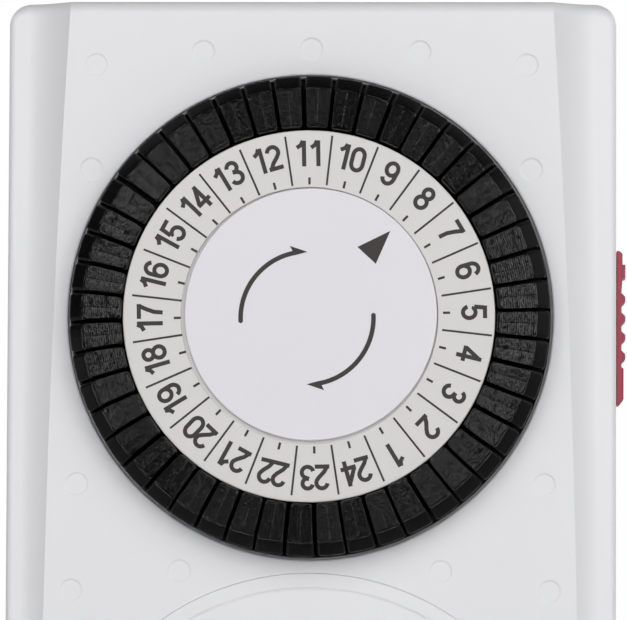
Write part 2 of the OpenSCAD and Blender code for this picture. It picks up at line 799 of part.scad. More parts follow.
module coil_axis() {
  translate([0, -coil_d, coil_z]) rotate([0, 90, 0]) children();
}

module coil_bobbin() {
  length = coil_x[1] - coil_x[0];
  color("ivory") difference() {
    coil_axis() translate([0, 0, coil_x[0]]) {
      cylinder(r = bobbin_core_r, h = length);
      for (z = [0, length - 1]) translate([0, 0, z]) cylinder(r = bobbin_r, h = 1);
    }
    slab(stator_d[0] - fit_gap, stator_d[1] + fit_gap)
      span([coil_x[0] - 1, coil_x[1] + 1], band(coil_z, limb / 2 + fit_gap));
  }
}

module coil_winding() {
  color("chocolate") coil_axis() difference() {
    translate([0, 0, coil_x[0] + 1]) cylinder(r = winding_r, h = coil_x[1] - coil_x[0] - 2);
    translate([0, 0, coil_x[0]]) cylinder(r = bobbin_core_r, h = coil_x[1] - coil_x[0]);
  }
}

module rotor_magnet() {
  color("darkslategray") at(rotor_at) lathe()
    translate([2.2, stator_d[0] - 0.4]) square([rotor_r - 2.2, stator_d[1] - stator_d[0] + 0.8]);
}

module rotor_pinion() {
  phase = mesh_phase(third_teeth, 0, rotor_leaves, rotor_angle);
  color("silver") at(rotor_at) {
    arbor();
    teeth(rotor_leaves, train_module, phase, third_d - 0.3, third_d + wheel_t + 0.6);
    rod(2.2, third_d + wheel_t + 0.6, stator_d[1] + 0.4);
  }
}

module third_wheel() {
  phase = mesh_phase(clutch_teeth, 0, third_leaves, third_angle);
  color("wheat") at(third_at) {
    arbor();
    teeth(third_teeth, train_module, 0, third_d, third_d + wheel_t);
    rod(2.2, third_d, clutch_d - 0.4);
    teeth(third_leaves, train_module, phase, clutch_d - 0.4, clutch_d + wheel_t + 0.1);
  }
}

module clutch_wheel() {
  color("wheat") at(clutch_at) difference() {
    teeth(clutch_teeth, train_module, 0, clutch_d, clutch_d + wheel_t);
    rod(arbor_r + running, clutch_d - 1, clutch_d + wheel_t + 1);
  }
}

module clutch_arbor() {
  phase = mesh_phase(output_teeth, 0, clutch_leaves, clutch_angle);
  color("silver") at(clutch_at) {
    arbor();
    rod(4, clutch_d - 1.1, clutch_d - fit_gap);
    rod(2.2, clutch_d + wheel_t + 1.2, clutch_d + wheel_t + 2.2);
    teeth(clutch_leaves, train_module, phase, output_d - 0.4, output_d + wheel_t + 0.4);
  }
}

module clutch_spring() {
  near = clutch_d + wheel_t + fit_gap;
  bore_r = arbor_r + running;
  color("gray") at(clutch_at) lathe()
    polygon([[bore_r, near + 0.8], [4, near], [4, near + 0.3], [bore_r, near + 1.1]]);
}

module output_wheel() {
  phase = ring_mesh_phase(ring_teeth, 0, output_leaves, output_angle);
  color("wheat") at(output_at) {
    rod(arbor_r, base_back, output_d + step);
    rod(2.6, clutch_d + wheel_t + 0.6, output_d + step);
    teeth(output_teeth, train_module, 0, output_d, output_d + wheel_t);
    rod(3, output_d + wheel_t - step, plate_front + 0.5);
    teeth(output_leaves, ring_module, phase, plate_front + 0.5 - step, skirt_back + 3.6);
  }
}

// ---------------------------------------------------------------- dial

module dial_wheel() {
  pitch_r = ring_teeth * ring_module / 2;
  relief = 0.2;
  gear_end = skirt_back + 3.8;
  hub_end = post_end - dial_gap;
  color("gainsboro") at(dial_at) difference() {
    union() {
      rod(tappet_out_r - 0.2, flange_back, flange_front);
      rod(drum_r, skirt_back, ring_front - ring_t);
    }
    slab(skirt_back - 1, gear_end) polygon(tooth_points(ring_teeth, ring_module, 0, -1));
    difference() {
      union() {
        rod(pitch_r + root_depth(ring_module) + relief, gear_end, flange_back);
        rod(drum_r - drum_wall, flange_front, ring_front);
      }
      rod(hub_r, skirt_back, hub_end);
    }
    rod(post_r + running, skirt_back - 1, ring_front);
    for (i = [0:tappet_count - 1]) turned(90 + tappet_turn + (i + 0.5) * tappet_pitch)
      slab(flange_back - 1, flange_front + 1)
        translate([stem_r, 0]) square(2 * (stem_half + stem_play * [1, 1]), center = true);
  }
  color("gainsboro") at(dial_at) difference() {
    rod(hub_r, skirt_back - 0.4, hub_end);
    rod(post_r + running, skirt_back - 1, ring_front);
  }
}

module number_ring() {
  bore = disc_r + dial_gap;
  edge = 0.2;
  color("white") at(dial_at) lathe()
    polygon([[bore, ring_front - ring_t], [ring_r, ring_front - ring_t], [ring_r, ring_front - edge],
             [ring_r - edge, ring_front], [bore + edge, ring_front], [bore, ring_front - edge]]);
}

// One tappet, with its middle on the +X side of the dial.
module tappet() {
  chamfer_d = tappet_top - tappet_chamfer;
  half = tappet_pitch / 2 - tappet_gap / 2 / (tappet_out_r - 3) * 180 / PI;
  turned(-half) lathe(2 * half)
    polygon([[tappet_in_r, head_back], [tappet_out_r, head_back], [tappet_out_r, chamfer_d],
             [tappet_out_r - tappet_chamfer, tappet_top], [tappet_in_r + 0.4, tappet_top],
             [tappet_in_r, tappet_top - 0.4]]);
  slab(stem_end, head_back + step) translate([stem_r, 0]) square(2 * stem_half, center = true);
}

// The two tappets of one hour; hour 1 is the first clockwise from the top.
module tappet_pair(hour) {
  color("#26262a") at(dial_at) for (i = [2 * hour - 2, 2 * hour - 1])
    turned(90 + tappet_turn - (i + 0.5) * tappet_pitch) tappet();
}

// ---------------------------------------------------------------- nodes

front_cover();
rear_cover();
plug_body();
cover_screws();
socket_insert();
centre_disc();
plug_pins();
earth_strap();
live_bar();
neutral_bar();
switched_bar();
socket_contacts();
contact_tray();
safety_shutter();
shutter_spring();
switch_base();
moving_blade();
feeler_lever();
feeler_pin();
feeler_spring();
override_slider();
back_plate();
front_plate();
plate_screws();
stator_core();
coil_bobbin();
coil_winding();
rotor_magnet();
rotor_pinion();
third_wheel();
clutch_wheel();
clutch_arbor();
clutch_spring();
output_wheel();
dial_wheel();
number_ring();
for (h = [1:hours])
  tappet_pair(h);
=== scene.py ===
"""Looks of a plug-in 24-hour timer switch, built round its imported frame.

Shapes are drawn in millimetres of the front view: x to the right, z up, and depth from
the plane of the plug's face towards the front, so that a point lies at (x, -depth, z).
Each sub-assembly is a class whose fields are its sizes; main() builds them in order.
"""

import logging
import math
from collections.abc import Callable, Iterable, Sequence
from dataclasses import dataclass, field
from enum import Enum
from typing import Any

import bmesh
import bpy
from mathutils import Matrix, Vector
from mathutils.geometry import delaunay_2d_cdt


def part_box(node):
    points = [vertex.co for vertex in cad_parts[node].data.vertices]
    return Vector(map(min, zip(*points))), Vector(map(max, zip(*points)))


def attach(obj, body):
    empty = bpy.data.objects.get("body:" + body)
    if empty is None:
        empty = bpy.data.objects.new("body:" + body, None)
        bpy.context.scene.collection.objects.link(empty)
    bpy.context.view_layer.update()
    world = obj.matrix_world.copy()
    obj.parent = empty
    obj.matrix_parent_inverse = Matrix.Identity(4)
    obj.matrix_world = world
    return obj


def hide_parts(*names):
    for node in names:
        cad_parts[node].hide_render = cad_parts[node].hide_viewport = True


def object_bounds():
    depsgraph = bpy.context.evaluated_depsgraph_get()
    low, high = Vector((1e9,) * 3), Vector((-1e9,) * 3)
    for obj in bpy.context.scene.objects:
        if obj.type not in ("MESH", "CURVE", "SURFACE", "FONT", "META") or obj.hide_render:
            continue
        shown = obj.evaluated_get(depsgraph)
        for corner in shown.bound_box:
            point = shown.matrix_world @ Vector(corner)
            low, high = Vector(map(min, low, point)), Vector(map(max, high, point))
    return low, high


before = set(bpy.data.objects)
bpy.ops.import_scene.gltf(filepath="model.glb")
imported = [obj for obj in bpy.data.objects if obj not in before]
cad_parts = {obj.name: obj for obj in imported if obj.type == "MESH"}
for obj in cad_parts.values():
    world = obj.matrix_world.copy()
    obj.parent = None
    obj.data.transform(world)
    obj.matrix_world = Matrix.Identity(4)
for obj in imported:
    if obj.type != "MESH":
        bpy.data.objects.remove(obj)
CAD_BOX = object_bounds()

log = logging.getLogger("timer")

MM = 0.001
TINY = 1e-4
SMOOTH_BELOW = math.radians(32)

Flat = tuple[float, float]
Triple = tuple[float, float, float]
Stage = Callable[[float, float], Triple]
Thing = bpy.types.Object
Vert = bmesh.types.BMVert
Rim = list[tuple[Vert, Vert]]
Colour = Triple


@dataclass(frozen=True)
class Extent:
    """The box of one or more frame nodes, in millimetres of the front view."""

    left: float
    right: float
    back: float
    front: float
    low: float
    high: float

    @property
    def centre(self) -> Flat:
        """Middle of the box, seen from the front."""
        return (self.left + self.right) / 2, (self.low + self.high) / 2

    @property
    def radius(self) -> float:
        """Half the width, which is the radius of a round piece."""
        return (self.right - self.left) / 2


def extent(*nodes: str) -> Extent:
    """Measures frame nodes at rest.

    Args:
        nodes: names of the nodes that are measured together.

    Returns:
        Their common box.
    """
    boxes = [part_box(node) for node in nodes]
    lo = [min(box[0][i] for box in boxes) / MM for i in range(3)]
    hi = [max(box[1][i] for box in boxes) / MM for i in range(3)]
    return Extent(lo[0], hi[0], -hi[1], -lo[1], lo[2], hi[2])


def measured(*nodes: str) -> Any:
    """Makes a field whose default is the common box of frame nodes."""
    return field(default_factory=lambda: extent(*nodes))


def around(centre: Flat, radius: float, angle: float) -> Flat:
    """Returns the point at an angle in degrees, counted from +x towards +z."""
    turn = math.radians(angle)
    return centre[0] + radius * math.cos(turn), centre[1] + radius * math.sin(turn)


def ring(centre: Flat, radius: float, count: int) -> list[Flat]:
    """Returns evenly spaced points on a circle."""
    return [around(centre, radius, 360 * k / count) for k in range(count)]


def signed_area(shape: Sequence[Flat]) -> float:
    """Area of a closed outline, positive where it runs counter-clockwise."""
    pairs = zip(shape, [*shape[1:], shape[0]], strict=True)
    return sum(a[0] * b[1] - b[0] * a[1] for a, b in pairs) / 2


def moved(shape: Iterable[Flat], to: Flat, angle: float = 0.0) -> list[Flat]:
    """Turns a flat shape about its origin by an angle in degrees and moves it."""
    c, s = math.cos(math.radians(angle)), math.sin(math.radians(angle))
    return [(to[0] + x * c - y * s, to[1] + x * s + y * c) for x, y in shape]


def fillet_drop(inside: float, radius: float) -> float:
    """Depth lost to an edge rounding at a distance inside that edge.

    Args:
        inside: how far inside the edge the point lies.
        radius: radius of the rounding.

    Returns:
        How much deeper the point lies.
    """
    if inside >= radius:
        return 0.0
    return radius - math.sqrt(max(radius**2 - (radius - max(inside, 0.0)) ** 2, 0.0))


def shares(step: int) -> list[float]:
    """How far in a rounding's steps lie, as shares of its radius, at steps in degrees."""
    return [1 - math.cos(math.radians(angle)) for angle in range(0, 91, step)]


def eased(corners: Sequence[Triple], steps: int = 4) -> list[Flat]:
    """Rounds the corners of a closed outline.

    Args:
        corners: each corner's two coordinates and its radius; 0 keeps it sharp.
        steps: pieces of each arc.

    Returns:
        The points of the rounded outline.
    """
    points: list[Flat] = []
    for i, (x, y, radius) in enumerate(corners):
        here = Vector((x, y))
        before = (Vector(corners[i - 1][:2]) - here).normalized()
        after = (Vector(corners[(i + 1) % len(corners)][:2]) - here).normalized()
        if radius <= 0:
            points.append((x, y))
            continue
        half = before.angle(after) / 2
        middle = here + (before + after).normalized() * radius / math.sin(half)
        start = here + before * radius / math.tan(half) - middle
        end = here + after * radius / math.tan(half) - middle
        for k in range(steps + 1):
            spoke = start.lerp(end, k / steps).normalized() * radius
            points.append((middle.x + spoke.x, middle.y + spoke.y))
    return points


# ------------ node trees


class Signal:
    """A socket of a node tree that takes part in sums; an expression adds Math nodes."""

    def __init__(self, graph: "Graph", socket: bpy.types.NodeSocket) -> None:
        """Wraps an output socket of a graph's tree."""
        self.graph = graph
        self.socket = socket

    def _math(self, operation: str, first: Any, second: Any = 0.0) -> "Signal":
        """Adds one Math node and returns its value."""
        return self.graph.node("ShaderNodeMath", {"operation": operation}, {0: first, 1: second})

    def __add__(self, other: Any) -> "Signal":
        """self + other."""
        return self._math("ADD", self, other)

    def __radd__(self, other: Any) -> "Signal":
        """other + self."""
        return self._math("ADD", other, self)

    def __sub__(self, other: Any) -> "Signal":
        """self - other."""
        return self._math("SUBTRACT", self, other)

    def __rsub__(self, other: Any) -> "Signal":
        """other - self."""
        return self._math("SUBTRACT", other, self)

    def __mul__(self, other: Any) -> "Signal":
        """self * other."""
        return self._math("MULTIPLY", self, other)

    def __rmul__(self, other: Any) -> "Signal":
        """other * self."""
        return self._math("MULTIPLY", other, self)

    def __truediv__(self, other: Any) -> "Signal":
        """self / other."""
        return self._math("DIVIDE", self, other)

    def at_most(self, other: Any) -> "Signal":
        """The smaller of the two."""
        return self._math("MINIMUM", self, other)

    def at_least(self, other: Any) -> "Signal":
        """The larger of the two."""
        return self._math("MAXIMUM", self, other)

    def cosine(self) -> "Signal":
        """Cosine of an angle in radians."""
        return self._math("COSINE", self)

    def sine(self) -> "Signal":
        """Sine of an angle in radians."""
        return self._math("SINE", self)


class Graph:
    """Builds one node tree: every node but the sums comes from its node() method."""

    def __init__(self, tree: bpy.types.NodeTree) -> None:
        """Takes the tree that is built."""
        self.tree = tree

    def node(
        self,
        kind: str,
        settings: dict[str, Any] | None = None,
        inputs: dict[int | str, Any] | None = None,
        output: int | str = 0,
    ) -> Signal:
        """Adds a node.

        Args:
            kind: Blender's type name of the node.
            settings: properties, set before anything is linked; a ramp's stops go
                under "stops" as (place, colour) pairs.
            inputs: values or signals by socket index or name.
            output: which output to return.

        Returns:
            The chosen output of the new node.
        """
        made = self.tree.nodes.new(kind)
        for key, value in (settings or {}).items():
            if key == "stops":
                ramp = made.color_ramp.elements
                for stop, (place, colour) in zip((ramp[0], ramp[1]), value, strict=True):
                    stop.position = place
                    stop.color = (*colour, 1.0)
            else:
                setattr(made, key, value)
        for key, value in (inputs or {}).items():
            socket = made.inputs[key]
            if isinstance(value, Signal):
                self.tree.links.new(value.socket, socket)
            elif isinstance(value, tuple) and socket.type == "RGBA":
                socket.default_value = (*value, 1.0)
            else:
                socket.default_value = value
        return Signal(self, made.outputs[output]) if made.outputs else Signal(self, None)

    def vector(self, operation: str, inputs: dict[int | str, Any]) -> Signal:
        """Adds a Vector Math node with these inputs."""
        return self.node("ShaderNodeVectorMath", {"operation": operation}, inputs)

    def principled(self, inputs: dict[int | str, Any]) -> Signal:
        """Adds a Principled surface with these inputs."""
        return self.node("ShaderNodeBsdfPrincipled", None, inputs)


class Recipe(Graph):
    """A geometry tree with named inputs that turns a host mesh into a plain mesh."""

    def __init__(self, name: str, inputs: dict[str, list[str]]) -> None:
        """Makes the tree with its named inputs.

        Args:
            name: name of the tree.
            inputs: names of the inputs by kind of socket, besides the host's geometry.
        """
        super().__init__(bpy.data.node_groups.new(name, "GeometryNodeTree"))
        face = self.tree.interface
        face.new_socket("Geometry", in_out="INPUT", socket_type="NodeSocketGeometry")
        for kind, labels in inputs.items():
            for label in labels:
                face.new_socket(label, in_out="INPUT", socket_type=f"NodeSocket{kind}")
        face.new_socket("Geometry", in_out="OUTPUT", socket_type="NodeSocketGeometry")
        self.entry = self.tree.nodes.new("NodeGroupInput")
        self.exit = self.tree.nodes.new("NodeGroupOutput")

    def given(self, label: str) -> Signal:
        """The signal of a named input."""
        return Signal(self, self.entry.outputs[label])

    def ends_with(self, instances: Signal) -> None:
        """Realizes the instances, sets their finish and closes the tree.

        Args:
            instances: what the tree has made so far.
        """
        real = self.node("GeometryNodeRealizeInstances", None, {0: instances})
        dressed = self.node(
            "GeometryNodeSetMaterial", None, {"Geometry": real, "Material": self.given("Finish")}
        )
        self.tree.links.new(dressed.socket, self.exit.inputs[0])

    def run(self, name: str, host: bpy.types.Mesh, values: dict[str, Any]) -> Thing:
        """Grows a plain mesh from a host mesh.

        Args:
            name: name of the new object.
            host: the mesh that the tree starts from.
            values: the named inputs.

        Returns:
            An object at the origin that holds the realized mesh and no modifier.
        """
        thing = linked(bpy.data.objects.new(name, host))
        modifier = thing.modifiers.new("recipe", "NODES")
        modifier.node_group = self.tree
        for item in self.tree.interface.items_tree:
            if item.in_out == "INPUT" and item.name in values:
                modifier[item.identifier] = values[item.name]
        apply_modifiers(thing)
        mesh = thing.data
        mesh.materials.clear()
        mesh.materials.append(values["Finish"])
        mesh.polygons.foreach_set("material_index", [0] * len(mesh.polygons))
        return thing


def linked(thing: Thing) -> Thing:
    """Puts an object into the scene and returns it."""
    bpy.context.scene.collection.objects.link(thing)
    return thing


def apply_modifiers(thing: Thing) -> None:
    """Turns an object's evaluated shape into its plain mesh.

    Args:
        thing: the object.
    """
    bpy.context.view_layer.update()
    whole = thing.evaluated_get(bpy.context.evaluated_depsgraph_get())
    mesh = bpy.data.meshes.new_from_object(whole)
    thing.modifiers.clear()
    thing.data = mesh
    mesh.name = thing.name


def weigh_normals(thing: Thing) -> None:
    """Keeps large faces flat beside small roundings, and applies that.

    Args:
        thing: the object.
    """
    weighted = thing.modifiers.new("flat faces first", "WEIGHTED_NORMAL")
    weighted.keep_sharp = True
    weighted.mode = "FACE_AREA_WITH_ANGLE"
    apply_modifiers(thing)


def seat(thing: Thing, body: str, nodes: Iterable[str] = ()) -> Thing:
    """Ties a finished piece to the frame.

    Args:
        thing: the piece, in place.
        body: the body that it rides on.
        nodes: frame nodes that it stands for.

    Returns:
        The piece.
    """
    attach(thing, body)
    if nodes:
        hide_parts(*nodes)
    faces = len(thing.data.polygons)
    log.info("%s rides on %s, %d faces", thing.name, body, faces)
    return thing


# ------------ shapes


@dataclass(frozen=True)
class Outline:
    """A rectangle with round corners, seen from the front."""

    left: float
    right: float
    low: float
    high: float
    corner: float

    def core(self, x: float, z: float, margin: float) -> Vector:
        """Nearest point of the rectangle that lies a margin inside."""
        return Vector(
            (
                min(max(x, self.left + margin), self.right - margin),
                min(max(z, self.low + margin), self.high - margin),
            )
        )

    def inside(self, x: float, z: float) -> float:
        """Distance of a point inside the outline from its edge.

        Args:
            x, z: the point.

        Returns:
            The distance, negative outside.
        """
        core = self.core(x, z, self.corner)
        away = (Vector((x, z)) - core).length
        if away > TINY:
            return self.corner - away
        return min(x - self.left, self.right - x, z - self.low, self.high - z)

    def moved_in(self, x: float, z: float, by: float) -> Flat:
        """Moves a point of the outline's edge inwards.

        Args:
            x, z: the point.
            by: how far it moves.

        Returns:
            The new point.
        """
        core = self.core(x, z, self.corner)
        spoke = (Vector((x, z)) - core).normalized() * (self.corner - by)
        return core.x + spoke.x, core.y + spoke.y

    def row(self, inset: float, depth: float) -> Stage:
        """One row of a wall that is drawn from the edge.

        Args:
            inset: how far inside the edge the row lies.
            depth: depth of the row.

        Returns:
            The row's point for a point of the edge.
        """

        def place(x: float, z: float) -> Triple:
            """Where a point of the edge goes."""
            px, pz = self.moved_in(x, z, inset)
            return px, depth, pz

        return place

    def edge(self, pitch: float = 1.2, corner_steps: int = 8) -> list[Flat]:
        """Points round the edge, with straight sides split at about the pitch.

        Args:
            pitch: longest step along a side.
            corner_steps: steps round a corner.

        Returns:
            The points, counter-clockwise.
        """
        points: list[Flat] = []
        c = self.corner
        turns = [
            ((self.right - c, self.high - c), 0),
            ((self.left + c, self.high - c), 90),
            ((self.left + c, self.low + c), 180),
            ((self.right - c, self.low + c), 270),
        ]
        for i, (centre, start) in enumerate(turns):
            arc = [around(centre, c, start + 90 * k / corner_steps) for k in range(corner_steps + 1)]
            following, angle = turns[(i + 1) % 4]
            there = Vector(around(following, c, angle))
            here = Vector(arc[-1])
            count = max(int((there - here).length / pitch), 1)
            points += arc
            points += [tuple(here.lerp(there, k / count)) for k in range(1, count)]
        return points


class Form:
    """A mesh in the making, in millimetres of the front view."""

    def __init__(self) -> None:
        """Starts empty."""
        self.mesh = bmesh.new()

    @classmethod
    def of_node(cls, node: str) -> "Form":
        """A merged copy of a frame node's mesh.

        Args:
            node: name of the node.

        Returns:
            The form, in millimetres.
        """
        form = cls()
        form.mesh.from_mesh(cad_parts[node].data)
        bmesh.ops.scale(form.mesh, vec=(1 / MM,) * 3, verts=form.mesh.verts)
        bmesh.ops.remove_doubles(form.mesh, verts=form.mesh.verts, dist=0.002)
        bmesh.ops.dissolve_limit(
            form.mesh,
            angle_limit=math.radians(0.5),
            verts=form.mesh.verts,
            edges=form.mesh.edges,
        )
        return form

    def point(self, x: float, depth: float, z: float) -> Vert:
        """Adds a point."""
        return self.mesh.verts.new((x, -depth, z))

    def row(self, points: Iterable[Triple]) -> list[Vert]:
        """Adds points given as (x, depth, z)."""
        return [self.point(*p) for p in points]

    def face(self, corners: Sequence[Vert]) -> bmesh.types.BMFace | None:
        """Adds a face unless two of its corners leave less than a triangle."""
        single = list(dict.fromkeys(corners))
        return self.mesh.faces.new(single) if len(single) > 2 else None

    def band(self, a: Sequence[Vert], b: Sequence[Vert], closed: bool = True) -> None:
        """Joins two rows of points by quads; a row of one point makes a fan.

        Args:
            a: first row.
            b: second row.
            closed: whether the rows run all the way round.
        """
        count = max(len(a), len(b))
        if count < 2:
            return
        for k in range(count if closed else count - 1):
            j = (k + 1) % count
            self.face([a[k % len(a)], a[j % len(a)], b[j % len(b)], b[k % len(b)]])

    def lathe(self, profile: Sequence[Flat], centre: Flat, segments: int = 96) -> "Form":
        """Turns a closed profile of (radius, depth) points about a depth axis.

        Args:
            profile: corners of the profile.
            centre: x and z of the axis.
            segments: steps of a full turn.

        Returns:
            The form itself.
        """
        rows = []
        for radius, depth in profile:
            spots = ring(centre, radius, segments) if radius > TINY else [centre]
            rows.append(self.row((x, depth, z) for x, z in spots))
        for a, b in zip(rows, rows[1:] + rows[:1], strict=True):
            self.band(a, b)
        return self

    def block(self, x: Flat, depth: Flat, z: Flat) -> "Form":
        """Adds a box between pairs of coordinates.

        Args:
            x: left and right.
            depth: back and front.
            z: foot and top.

        Returns:
            The form itself.
        """
        rows = [
            self.row([(x[0], d, z[0]), (x[1], d, z[0]), (x[1], d, z[1]), (x[0], d, z[1])])
            for d in depth
        ]
        self.band(*rows)
        for loop in rows:
            self.face(loop)
        return self

    def sheet(
        self,
        loops: Sequence[Sequence[Flat]],
        lines: Sequence[Sequence[Flat]],
        keep: Callable[[float, float], bool],
        depth: Callable[[float, float], float],
    ) -> "Form":
        """Adds a surface over the front view.

        Args:
            loops: closed rows of points that the surface's edges follow.
            lines: open rows of points that its edges follow.
            keep: whether the surface exists at a triangle's middle.
            depth: depth of the surface at a point.

        Returns:
            The form itself.
        """
        spots: list[Vector] = []
        edges: list[tuple[int, int]] = []
        for points, closed in [(p, True) for p in loops] + [(p, False) for p in lines]:
            first = len(spots)
            spots += [Vector(p) for p in points]
            edges += [(first + k, first + k + 1) for k in range(len(points) - 1)]
            if closed:
                edges.append((first + len(points) - 1, first))
        found, _, faces, *_ = delaunay_2d_cdt(spots, edges, [], 0, TINY, False)
        made = [self.point(p.x, depth(p.x, p.y), p.y) for p in found]
        for corners in faces:
            middle = sum((found[k] for k in corners), Vector((0, 0))) / len(corners)
            if keep(middle.x, middle.y):
                self.face([made[k] for k in corners])
        bmesh.ops.delete(
            self.mesh, geom=[v for v in self.mesh.verts if not v.link_faces], context="VERTS"
        )
        return self

    def rim(self, beside: Callable[[float, float], bool]) -> Rim:
        """Open edges whose two ends both pass a test of their x and z."""
        return [
            (edge.verts[0], edge.verts[1])
            for edge in self.mesh.edges
            if edge.is_boundary and all(beside(v.co.x, v.co.z) for v in edge.verts)
        ]

    def drawn(self, rim: Rim, *stages: Stage) -> Rim:
        """Draws a wall from a rim.

        Args:
            rim: open edges.
            stages: each gives (x, depth, z) of the next row for a point of the rim.

        Returns:
            The last row as a rim.
        """
        start = {v: (v.co.x, v.co.z) for pair in rim for v in pair}
        now = {v: v for v in start}
        for stage in stages:
            after = {v: self.point(*stage(*start[v])) for v in start}
            for a, b in rim:
                self.face([now[a], now[b], after[b], after[a]])
            now = after
        return [(now[a], now[b]) for a, b in rim]

    def close(self, *rims: Rim) -> None:
        """Fills the flat space between rims that lie at one depth."""
        edges = [self.mesh.edges.get(pair) for rim in rims for pair in rim]
        bmesh.ops.triangle_fill(self.mesh, use_beauty=True, edges=edges, normal=(0, -1, 0))

    def plate(self, shapes: Sequence[Sequence[Flat]], depth: Flat) -> "Form":
        """Adds a thin plate over the union of flat shapes.

        Args:
            shapes: outlines in the front view, which may overlap.
            depth: depths of its back and its front.

        Returns:
            The form itself.
        """
        spots: list[Vector] = []
        faces: list[list[int]] = []
        for shape in shapes:
            turned = list(shape) if signed_area(shape) > 0 else list(reversed(shape))
            faces.append(list(range(len(spots), len(spots) + len(turned))))
            spots += [Vector(p) for p in turned]
        found, _, cut, _, _, sources = delaunay_2d_cdt(spots, [], faces, 1, TINY, True)
        triangles = [corners for corners, source in zip(cut, sources, strict=True) if source]
        rows = [self.row((p.x, d, p.y) for p in found) for d in depth]
        sides: dict[tuple[int, int], int] = {}
        for corners in triangles:
            for row in rows:
                self.face([row[k] for k in corners])
            for k in range(len(corners)):
                a, b = sorted((corners[k - 1], corners[k]))
                sides[a, b] = sides.get((a, b), 0) + 1
        for (a, b), uses in sides.items():
            if uses == 1:
                self.face([rows[0][a], rows[0][b], rows[1][b], rows[1][a]])
        loose = [v for v in self.mesh.verts if not v.link_faces]
        bmesh.ops.delete(self.mesh, geom=loose, context="VERTS")
        return self

    def fused(self, other: "Form", operation: str = "DIFFERENCE") -> "Form":
        """Cuts another form out of this one, or joins it.

        Args:
            other: the second form, which is used up.
            operation: the Boolean modifier's operation.

        Returns:
            The form itself.
        """
        pair = []
        for form in (self, other):
            bmesh.ops.remove_doubles(form.mesh, verts=form.mesh.verts, dist=TINY)
            bmesh.ops.recalc_face_normals(form.mesh, faces=form.mesh.faces)
            data = bpy.data.meshes.new("blank")
            form.mesh.to_mesh(data)
            form.mesh.free()
            pair.append(linked(bpy.data.objects.new("blank", data)))
        body, tool = pair
        step = body.modifiers.new("cut", "BOOLEAN")
        step.operation = operation
        step.object = tool
        step.solver = "EXACT"
        apply_modifiers(body)
        self.mesh = bmesh.new()
        self.mesh.from_mesh(body.data)
        bmesh.ops.remove_doubles(self.mesh, verts=self.mesh.verts, dist=0.004)
        for thing in pair:
            bpy.data.objects.remove(thing)
        return self

    def to_mesh(self, name: str) -> bpy.types.Mesh:
        """Merges, turns faces outwards, shades smooth below a sharp angle.

        Args:
            name: name of the mesh.

        Returns:
            The mesh; the form is used up.
        """
        bmesh.ops.remove_doubles(self.mesh, verts=self.mesh.verts, dist=TINY)
        bmesh.ops.recalc_face_normals(self.mesh, faces=self.mesh.faces)
        for face in self.mesh.faces:
            face.smooth = True
        mesh = bpy.data.meshes.new(name)
        self.mesh.to_mesh(mesh)
        self.mesh.free()
        mesh.set_sharp_from_angle(angle=SMOOTH_BELOW)
        return mesh

    def made(self, name: str, finish: "Finish", bevel: float = 0.0, clamp: bool = False) -> Thing:
        """Turns the form into an object at the origin.

        Args:
            name: name of the object.
            finish: its finish.
            bevel: width of a small rounding on every sharp edge, in millimetres.
            clamp: whether the rounding stops where short edges would cross.

        Returns:
            The object, with its place in its mesh.
        """
        thing = linked(bpy.data.objects.new(name, self.to_mesh(name)))
        thing.data.materials.append(finish.material())
        if bevel > 0:
            soft = thing.modifiers.new("eased edges", "BEVEL")
            soft.width = bevel
            soft.segments = 2
            soft.limit_method = "ANGLE"
            soft.angle_limit = SMOOTH_BELOW
            soft.harden_normals = True
            soft.use_clamp_overlap = clamp
        weigh_normals(thing)
        thing.data.transform(Matrix.Scale(MM, 4))
        return thing


# ------------ finishes


@dataclass(frozen=True)
class Finish:
    """A finish that makes its material once."""

    name: str
    colour: Colour
    roughness: float

    def material(self) -> bpy.types.Material:
        """The finish's material, built at the first call.

        Returns:
            The material.
        """
        name = f"{self.name}_finish"
        found = bpy.data.materials.get(name)
        if found is not None:
            return found
        made = bpy.data.materials.new(name)
        made.use_nodes = True
        made.node_tree.nodes.clear()
        graph = Graph(made.node_tree)
        shader = self.shader(graph)
        graph.node("ShaderNodeOutputMaterial", None, {"Surface": shader})
        return made

    def shader(self, graph: Graph) -> Signal:
        """Builds the surface; each kind of finish has its own."""
        raise NotImplementedError

    @staticmethod
    def places(graph: Graph) -> Signal:
        """Object coordinates in millimetres."""
        spot = graph.node("ShaderNodeTexCoord", output="Object")
        return graph.vector("SCALE", {0: spot, "Scale": 1 / MM})

    @staticmethod
    def noise(graph: Graph, place: Signal, scale: float, detail: float = 3.0) -> Signal:
        """Noise between 0 and 1 with so many waves to the millimetre."""
        return graph.node(
            "ShaderNodeTexNoise",
            {"noise_dimensions": "3D"},
            {"Vector": place, "Scale": scale, "Detail": detail, "Roughness": 0.55},
        )

    def tinted(self, graph: Graph, factor: Signal, spread: float) -> Signal:
        """The colour, from a little darker to a little lighter by a factor.

        Args:
            graph: the material's graph.
            factor: 0 for darkest, 1 for lightest.
            spread: how far the tone goes either way.

        Returns:
            The colour.
        """
        dark = tuple(c * (1 - spread) for c in self.colour)
        light = tuple(min(c * (1 + spread), 1.0) for c in self.colour)
        inputs = {"Factor": factor, 6: dark, 7: light}
        return graph.node("ShaderNodeMix", {"data_type": "RGBA"}, inputs, output=2)

    @staticmethod
    def bumped(graph: Graph, height: Signal, depth: float) -> Signal:
        """Normals of a relief whose full height is a depth in millimetres."""
        return graph.node(
            "ShaderNodeBump", None, {"Strength": 1.0, "Distance": depth * MM, "Height": height}
        )


